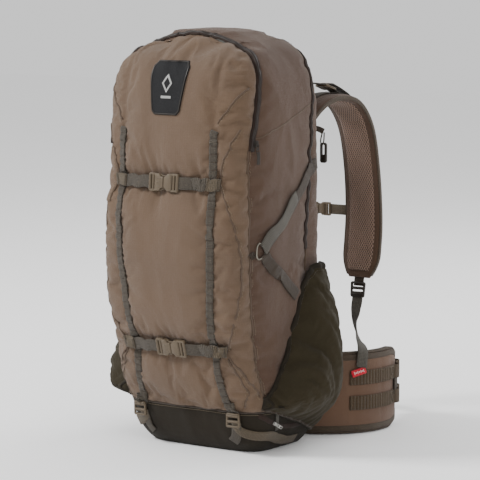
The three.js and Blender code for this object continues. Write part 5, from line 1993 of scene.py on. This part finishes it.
def make_adjuster(side, sign):
    """Ladder-lock under the strap's end, the tab that holds it, and the twisted webbing down to the belt."""
    middle = centre_of(f"adjuster_buckle_{side}")
    lock = ladder_lock(f"adjuster_lock_{side}", 0.0285, 0.0265, 0.0062)
    place_at(lock, middle, (1, 0, 0), (0, -1, 0.12))
    finish_piece(lock, "harness", "dark_plastic", DARK_PLASTIC, f"adjuster_buckle_{side}")
    top = [Vector((sign * 0.098, 0.2820, 0.256)), Vector((sign * 0.098, 0.2785, 0.243)),
           middle + Vector((0, 0.001, 0.006))]
    tab = strip_from_rows(f"adjuster_tab_{side}",
                          lifter_rows(top, 18, [Vector((0, 1, 0)), Vector((0, 1, 0))]), STRAP_WIDTH, 0.0030)
    finish_piece(tab, "harness", "webbing", DARK_WEBBING)
    route = [middle - Vector((0, 0.0010, 0.003)), Vector((sign * 0.0985, 0.2725, 0.208)),
             Vector((sign * 0.100, 0.2660, 0.192)), Vector((sign * 0.109, 0.2510, 0.171)),
             Vector((sign * 0.131, 0.2240, 0.156)), Vector((sign * 0.1590, 0.1945, 0.141)),
             Vector((sign * 0.1630, 0.1855, 0.112))]
    path = smooth_curve(route, 80)
    rows = []
    for i, p in enumerate(path):
        t = i / 80
        turn = clamp((t - 0.10) / 0.62)
        turn = turn * turn * (3 - 2 * turn)
        angle = math.radians(97 - 131 * turn)
        out = Vector((sign * math.cos(angle), math.sin(angle), 0))
        along = (path[min(i + 1, 80)] - path[max(i - 1, 0)]).normalized()
        across = along.cross(out).normalized()
        rows.append((p, across, across.cross(along).normalized()))
    web = strip_from_rows(f"adjuster_web_{side}", rows, STRAP_WIDTH, STRAP_THICK)
    web.data.materials.append(GREY_WEBBING)
    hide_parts(f"adjuster_webbing_{side}")
    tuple(route[4])
    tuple(route[0])
    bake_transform(web)
    if sign > 0:
        make_tag(rows[-1], rows[-6])


def make_tag(end_row, before_row):
    """Red ribbon tag folded over the webbing's end, with plain woven bars instead of lettering."""
    middle = centre_of("strap_tag")
    p, across, out = end_row
    along = (p - before_row[0]).normalized()
    outline = rounded_rect(0.0265, 0.0112, 0.0018)
    tag = extruded("tag_ribbon", outline, 0.0024, 0.0006)
    tag.data.transform(Matrix.Translation((0, 0, -0.0006)))
    place_at(tag, middle, (across + along * 0.45).normalized(), out)
    finish_piece(tag, "bag", "tag_fabric", TAG, "strap_tag")
    marks = []
    for k, (x, w, h) in enumerate(((-8.6, 0.5, 2.6), (-6.0, 1.2, 1.0), (-3.4, 0.5, 2.6), (-0.4, 1.1, 1.1),
                                   (2.6, 0.5, 2.6), (5.6, 1.2, 1.0), (8.4, 0.5, 2.6))):
        ring = [((x + a * w) * MM, b * h * MM) for a, b in ((-1, -1), (1, -1), (1, 1), (-1, 1))]
        marks.append(extruded(f"tag_mark_{k}", ring, 0.0004, 0))
    mark = join("tag_marks", marks)
    mark.data.transform(Matrix.Translation((0, 0, 0.0017)))
    place_at(mark, middle, (across + along * 0.45).normalized(), out)
    finish_piece(mark, "bag", "tag_fabric", TAG_THREAD)


for side, sign in SIDES:
    make_load_lifter(side, sign)
    make_adjuster(side, sign)


# ------------------------------------------------------------------ sternum strap, pull and haul loop
STERNUM_SCALE = 0.8


def make_sternum():
    middle = lay_pair("sternum_buckle_female", "sternum_buckle_male", "sternum_strap",
                      "sternum_buckle_male",
                      "sternum_buckle", (1, 0, 0), (0, 1, 0), STERNUM_SCALE)
    y = middle.y
    for side, sign in SIDES:
        low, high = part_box(f"sternum_strap_{side}")
        outer = high.x if sign > 0 else low.x
        inner = 0.0185 if sign < 0 else 0.044
        points = [Vector((outer, y - 0.0052, STERNUM_Z)),
                  Vector((sign * 0.085, y - 0.0020, STERNUM_Z - 0.0006)),
                  Vector((sign * 0.060, y - 0.0004, STERNUM_Z)), Vector((sign * inner, y, STERNUM_Z))]
        rows = frames_along(smooth_curve(points, 44), lambda i, p: Vector((0, 1, 0)))
        finish_piece(strip_from_rows(f"sternum_web_{side}", rows, 0.0175, 0.0016), "sternum_strap",
                     "webbing", TAN_WEBBING, f"sternum_strap_{side}")
        fold = [(p + out * 0.0017, across, out) for p, across, out in rows[8:30]]
        finish_piece(strip_from_rows(f"sternum_fold_{side}", fold, 0.0170, 0.0014), "sternum_strap",
                     "webbing", DARK_WEBBING)
        slide = ladder_lock(f"sternum_slide_{side}", 0.0250, 0.0200, 0.0046)
        place_at(slide, Vector((sign * 0.097, y - 0.0030, STERNUM_Z)), (0, 0, 1), (0, 1, 0))
        finish_piece(slide, "sternum_strap", "dark_plastic", DARK_PLASTIC)
        for k in (9, 28):
            p, across, out = rows[k]
            bar_tack(f"sternum_tack_{side}_{k}", p + out * 0.0031, across, out.cross(across), out, 0.0145,
                     "sternum_strap", WEBBING)
    points = [Vector((0.0185, y, STERNUM_Z)), Vector((0.031, y + 0.0006, STERNUM_Z)),
              Vector((0.0455, y, STERNUM_Z))]
    rows = frames_along(smooth_curve(points, 26), lambda i, p: Vector((0, 1, 0)))
    web = finish_piece(strip_from_rows("sternum_male_web", rows, 0.0175, 0.0016), "sternum_strap",
                       "webbing", TAN_WEBBING)
    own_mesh(web)


def make_pull():
    """Moulded pull on a cord-like webbing loop below the yoke."""
    low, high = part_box("hanging_pull")
    middle = (low + high) / 2
    length = high.z - low.z
    outline = rounded_rect(0.0118, length * 0.66, 0.0036, (0, -length * 0.16))
    hole = rounded_rect(0.0052, length * 0.34, 0.0022, (0, -length * 0.06))
    parts = [extruded("pull_plate", outline, 0.0042, 0.0010, [hole])]
    parts[0].data.transform(Matrix.Translation((0, 0, -0.0021)))
    for k in range(4):
        y = -length * (0.30 + 0.045 * k)
        parts.append(bar("pull_rib", (-0.0046, y, 0.0022), (0.0046, y, 0.0022), 0.0007, 8))
    plate = join("pull_plate", parts)
    place_at(plate, middle, (1, 0, 0), (0, -1, 0))
    finish_piece(plate, "hanging_pull", "dark_plastic", DARK_PLASTIC, "hanging_pull")
    top = Vector((middle.x, middle.y, high.z))
    ring = middle + Vector((0, 0, length * 0.11))
    points = [top + Vector((-0.002, 0, 0)), ring + Vector((-0.0030, -0.0030, 0.006)),
              ring + Vector((0, -0.0036, -0.001)),
              ring + Vector((0.0030, -0.0030, 0.006)), top + Vector((0.002, 0, 0))]
    rows = frames_along(smooth_curve(points, 30), lambda i, p: Vector((0, -1, 0)))
    finish_piece(strip_from_rows("pull_loop", rows, 0.0026, 0.0024), "hanging_pull", "dark_plastic",
                 DARK_WEBBING)
    anchor = [Vector((0.088, 0.1385, 0.5050)), Vector((0.1005, 0.1440, 0.5062)),
              top + Vector((0, 0, 0.0016))]
    rows = frames_along(smooth_curve(anchor, 24), lambda i, p: Vector((0.35, -0.85, 0.4)).normalized())
    finish_piece(strip_from_rows("pull_anchor", rows, 0.0095, 0.0018), "harness", "webbing", DARK_WEBBING)


def make_haul_loop():
    low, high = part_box("haul_loop")
    middle_x = (low.x + high.x) / 2
    rows = []
    for i in range(61):
        a = math.pi * i / 60
        p = Vector((middle_x - 0.034 * math.cos(a), 0.113 + 0.011 * math.sin(a),
                    0.560 + 0.0395 * math.sin(a)))
        out = Vector((-math.cos(a), 0.0, math.sin(a)))
        along = Vector((math.sin(a), 0.011 / 0.0395 * math.cos(a), math.cos(a))).normalized()
        out = (out - along * out.dot(along)).normalized()
        rows.append((p, along.cross(out), out))
    widths = [1.0 - 0.42 * math.exp(-((i - 30) / 13.0) ** 2) for i in range(61)]
    finish_piece(strip_from_rows("haul_webbing", rows, 0.0165, 0.0022, widths), "haul_loop", "webbing",
                 DARK_WEBBING, "haul_loop")
    sleeve = [(p - out * 0.0006, across, out) for p, across, out in rows[18:43]]
    finish_piece(strip_from_rows("haul_sleeve", sleeve, 0.0128, 0.0036), "haul_loop", "webbing",
                 DARK_FABRIC)
    for k, sign in enumerate((-1, 1)):
        top = Vector((sign * 0.034, BACK_FACE_Y + 0.006, 0.5615))
        tab = [top, Vector((sign * 0.034, BACK_FACE_Y + 0.0022, 0.553)),
               Vector((sign * 0.034, BACK_FACE_Y + 0.0004, 0.541)),
               Vector((sign * 0.034, BACK_FACE_Y + 0.0002, 0.530))]
        strip = draped_webbing(f"haul_anchor_{k}", tab, BAG_TREE, 0.0165, 0.0018, 0.0004, 0, 24)
        finish_piece(strip, "bag", "webbing", DARK_WEBBING)
        for m, z in enumerate((0.534, 0.548)):
            p = nearest_on(tree_of(strip), Vector((sign * 0.034, 0.13, z)))[0]
            bar_tack(f"haul_tack_{k}_{m}", p, Vector((1, 0, 0)), Vector((0, 0, 1)), Vector((0, 1, 0)),
                     0.013, "bag", TAN_WEBBING)


make_sternum()
make_pull()
make_haul_loop()


# ------------------------------------------------------------------ hip belt
WING_CENTRE_Y = 0.245
WING_A, WING_B = 0.160, 0.120
WING_START, WING_END = -1.24, 0.98
WING_THICK = 0.0135
WING_LOW_Z, WING_HIGH_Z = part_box("hip_wing_right")[0].z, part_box("hip_wing_right")[1].z


def wing_frame(u, sign):
    """Middle point, height, out and along directions of a wing; u runs from its root to its tip."""
    a = WING_START + (WING_END - WING_START) * u
    tip = max((u - 0.62) / 0.38, 0.0) ** 1.3
    low_z, high_z = WING_LOW_Z + 0.034 * tip, WING_HIGH_Z - 0.040 * tip
    out = Vector((math.cos(a) / WING_A, math.sin(a) / WING_B, 0)).normalized()
    p = Vector((WING_A * math.cos(a), WING_CENTRE_Y + WING_B * math.sin(a),
                (low_z + high_z) / 2)) + out * 0.0065
    along = Vector((-WING_A * math.sin(a), WING_B * math.cos(a), 0)).normalized()
    for v in (p, out, along):
        v.x *= sign
    return p, high_z - low_z, out, along


def make_wing(side, sign):
    steps = 96
    rows, widths, thick = [], [], []
    for i in range(steps + 1):
        u = i / steps
        p, height, out, _ = wing_frame(u, sign)
        rows.append((p, Vector((0, 0, 1)), out))
        widths.append(height)
        crease = 0.0016 * blob(u, 0.34, 0.02) + 0.0013 * blob(u, 0.52, 0.018) + 0.0010 * blob(u, 0.74, 0.02)
        thick.append(WING_THICK * min(0.45 + 6 * min(u, 1 - u), 1.0) - crease)
    core = padded_rows(f"wing_pad_{side}", rows, widths, thick, FRONT_FABRIC, 3.4, 34, 0.0013, 7.0 + sign)
    finish_piece(core, "bag", "side_fabric", BELT_FABRIC, f"hip_wing_{side}")
    tree = tree_of(core)
    inner = []
    for i in range(8, steps - 4):
        p, across, out = rows[i]
        line = []
        for k in range(19):
            s = (2 * k / 18 - 1) * 0.82
            q = p + across * s * widths[i] / 2
            place = tree.ray_cast(q - out * 0.03, out)[0] or q - out * thick[i] / 2
            groove = 0.0012 * (blob(s, 0.0, 0.07) + blob(i / steps, 0.34, 0.012)
                               + blob(i / steps, 0.66, 0.012))
            line.append(place - out * (0.0004 + 0.0018 * (1 - (s / 0.82) ** 6) - groove))
        inner.append(line)
    face = grid_object(f"wing_mesh_{side}", inner)
    modifier(face, "SOLIDIFY", thickness=0.0016, offset=0.0)
    finish_piece(face, "bag", "mesh_lining", MESH)
    for k, s in enumerate((-1, 1)):
        edge = []
        for i, (p, across, out) in enumerate(rows):
            edge.append((p + across * s * (widths[i] / 2 - 0.0040), out, across * s))
        finish_piece(strip_from_rows(f"wing_binding_{side}_{k}", edge[1:-1], WING_THICK * 0.86, 0.0052),
                     "bag", "webbing", BINDING)
        band = []
        for i in range(2, steps - 1):
            p, across, out = rows[i]
            q = p + across * s * (widths[i] / 2 - 0.0078)
            place = tree.ray_cast(q + out * 0.03, -out)[0] or q + out * thick[i] / 2
            band.append((place + out * 0.0001, across, out))
        strip = finish_piece(strip_from_rows(f"wing_band_{side}_{k}", band, 0.0095, 0.0010), "bag",
                             "webbing", BINDING)
        stitches(f"wing_stitches_{side}_{k}", [p - across * s * 0.0032 for p, across, out in band],
                 tree_of(strip, core), THREAD)
    return rows, tree


LOOP_WIDTH = 0.0235
LOOP_PITCH = 0.037


def molle_row(side, sign, rows, tree, level, height):
    """Webbing that stands off the wing in loops between box-stitched squares, and gathers at its rear end."""
    length = 0.0
    strip, squares = [], []
    first, last = 30, 82
    gather_end = 0.082
    for i in range(first * 4, last * 4 + 1):
        k, share = divmod(i, 4)
        a, b = rows[k], rows[min(k + 1, len(rows) - 1)]
        p, out = a[0].lerp(b[0], share / 4), a[2].lerp(b[2], share / 4).normalized()
        if i > first * 4:
            length += (p - before).length
        before = p.copy()
        q = Vector((p.x, p.y, height)) + out * 0.03
        place = tree.ray_cast(q, -out)[0] or q - out * 0.024
        if length < gather_end:
            stand = 0.0009 + 0.0011 * (0.5 + 0.5 * math.sin(2 * math.pi * length / 0.0056))
            if (length * 1000) % 27 < 1.2:
                stand = 0.0006
        else:
            phase = ((length - gather_end) % LOOP_PITCH) / LOOP_PITCH
            stand = 0.0010 + (0.0062 * math.sin(math.pi * min((phase - 0.42) / 0.58, 1.0)) ** 0.7
                              if phase > 0.42 else 0)
            if phase < 0.36 and len(squares) < int((length - gather_end) / LOOP_PITCH) + 1:
                squares.append((length, place, out))
        strip.append((place + out * stand, Vector((0, 0, 1)), out))
    finish_piece(strip_from_rows(f"molle_{level}_{side}", strip, LOOP_WIDTH, 0.0016), "bag", "webbing",
                 MOLLE_WEBBING)
    for k, (_, place, out) in enumerate(squares):
        along = Vector((0, 0, 1)).cross(out) * sign
        middle = place + out * 0.0029 + along * 0.0075
        half_w, half_h = 0.0058, LOOP_WIDTH * 0.40
        corners = [(-1, -1), (1, -1), (1, 1), (-1, 1), (-1, -1), (1, 1), (1, -1), (-1, 1)]
        path = []
        for (x0, y0), (x1, y1) in zip(corners, corners[1:]):
            for m in range(6):
                t = m / 6
                path.append(middle + along * (x0 + (x1 - x0) * t) * half_w + Vector((0, 0, 1))
                            * (y0 + (y1 - y0) * t) * half_h)
        finish_piece(strip_from_rows(f"molle_box_{level}_{side}_{k}", frames_along(path, lambda i, p: out),
                                     0.0008, 0.0006), "bag", "webbing", THREAD)


WINGS = {side: make_wing(side, sign) for side, sign in SIDES}
for side, sign in SIDES:
    rows, tree = WINGS[side]
    molle_row(side, sign, rows, tree, "high", 0.094)
    molle_row(side, sign, rows, tree, "low", 0.052)


def make_belt_end(side, sign, node, half, body):
    """Webbing from the wing's tip through its buckle half's bar and back, and a tab on the wing."""
    middle = centre_of(node)
    scale = 1.35
    joint_x = sign * 0.086
    centre_z = middle.z
    snap = Vector((sign * 0.0025, 0.363, centre_z))
    piece = place_at(half(f"belt_buckle_{side}"), snap, (1, 0, 0), (0, 1, 0), scale)
    finish_piece(piece, body, "buckle_plastic", BUCKLE, node)
    bar_x = sign * (0.0025 + 0.0235 * scale)
    points = [Vector((joint_x, 0.3455, centre_z)), Vector((sign * 0.072, 0.3535, centre_z)),
              Vector((sign * 0.055, 0.3605, centre_z)), Vector((bar_x, 0.3630, centre_z))]
    rows = frames_along(smooth_curve(points, 40), lambda i, p: Vector((0, 1, 0)))
    finish_piece(strip_from_rows(f"belt_web_{side}", rows, 0.0290, 0.0019), body, "webbing", DARK_WEBBING)
    fold = [(p + out * 0.0020, across, out) for p, across, out in rows[6:]]
    finish_piece(strip_from_rows(f"belt_fold_{side}", fold, 0.0284, 0.0016), body, "webbing", MOLLE_WEBBING)
    p, across, out = rows[12]
    bar_tack(f"belt_tack_{side}", p + out * 0.0040, across, out.cross(across), out, 0.025, body,
             TAN_WEBBING)
    wing_rows, tree = WINGS[side]
    path = []
    for i in (62, 68, 74, 80, 85, 89):
        q, _, wing_out = wing_rows[i]
        place = tree.ray_cast(Vector((q.x, q.y, centre_z)) + wing_out * 0.03, -wing_out)[0]
        path.append((place or q) + wing_out * 0.0006)
    tab = draped_webbing(f"belt_tab_{side}", path, tree, 0.0290, 0.0018, 0.0022, 0, 50)
    finish_piece(tab, "bag", "webbing", DARK_WEBBING)


make_belt_end("left", -1, "hip_buckle_female", female_half, "belt_buckle_left")
make_belt_end("right", 1, "hip_buckle_male", male_half, "belt_buckle_right")


# ------------------------------------------------------------------ scene
for node_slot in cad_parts["frame_sheet"].material_slots:
    node_slot.material = FRAME_PLASTIC
add_camera()
add_studio()
bpy.context.view_layer.update()
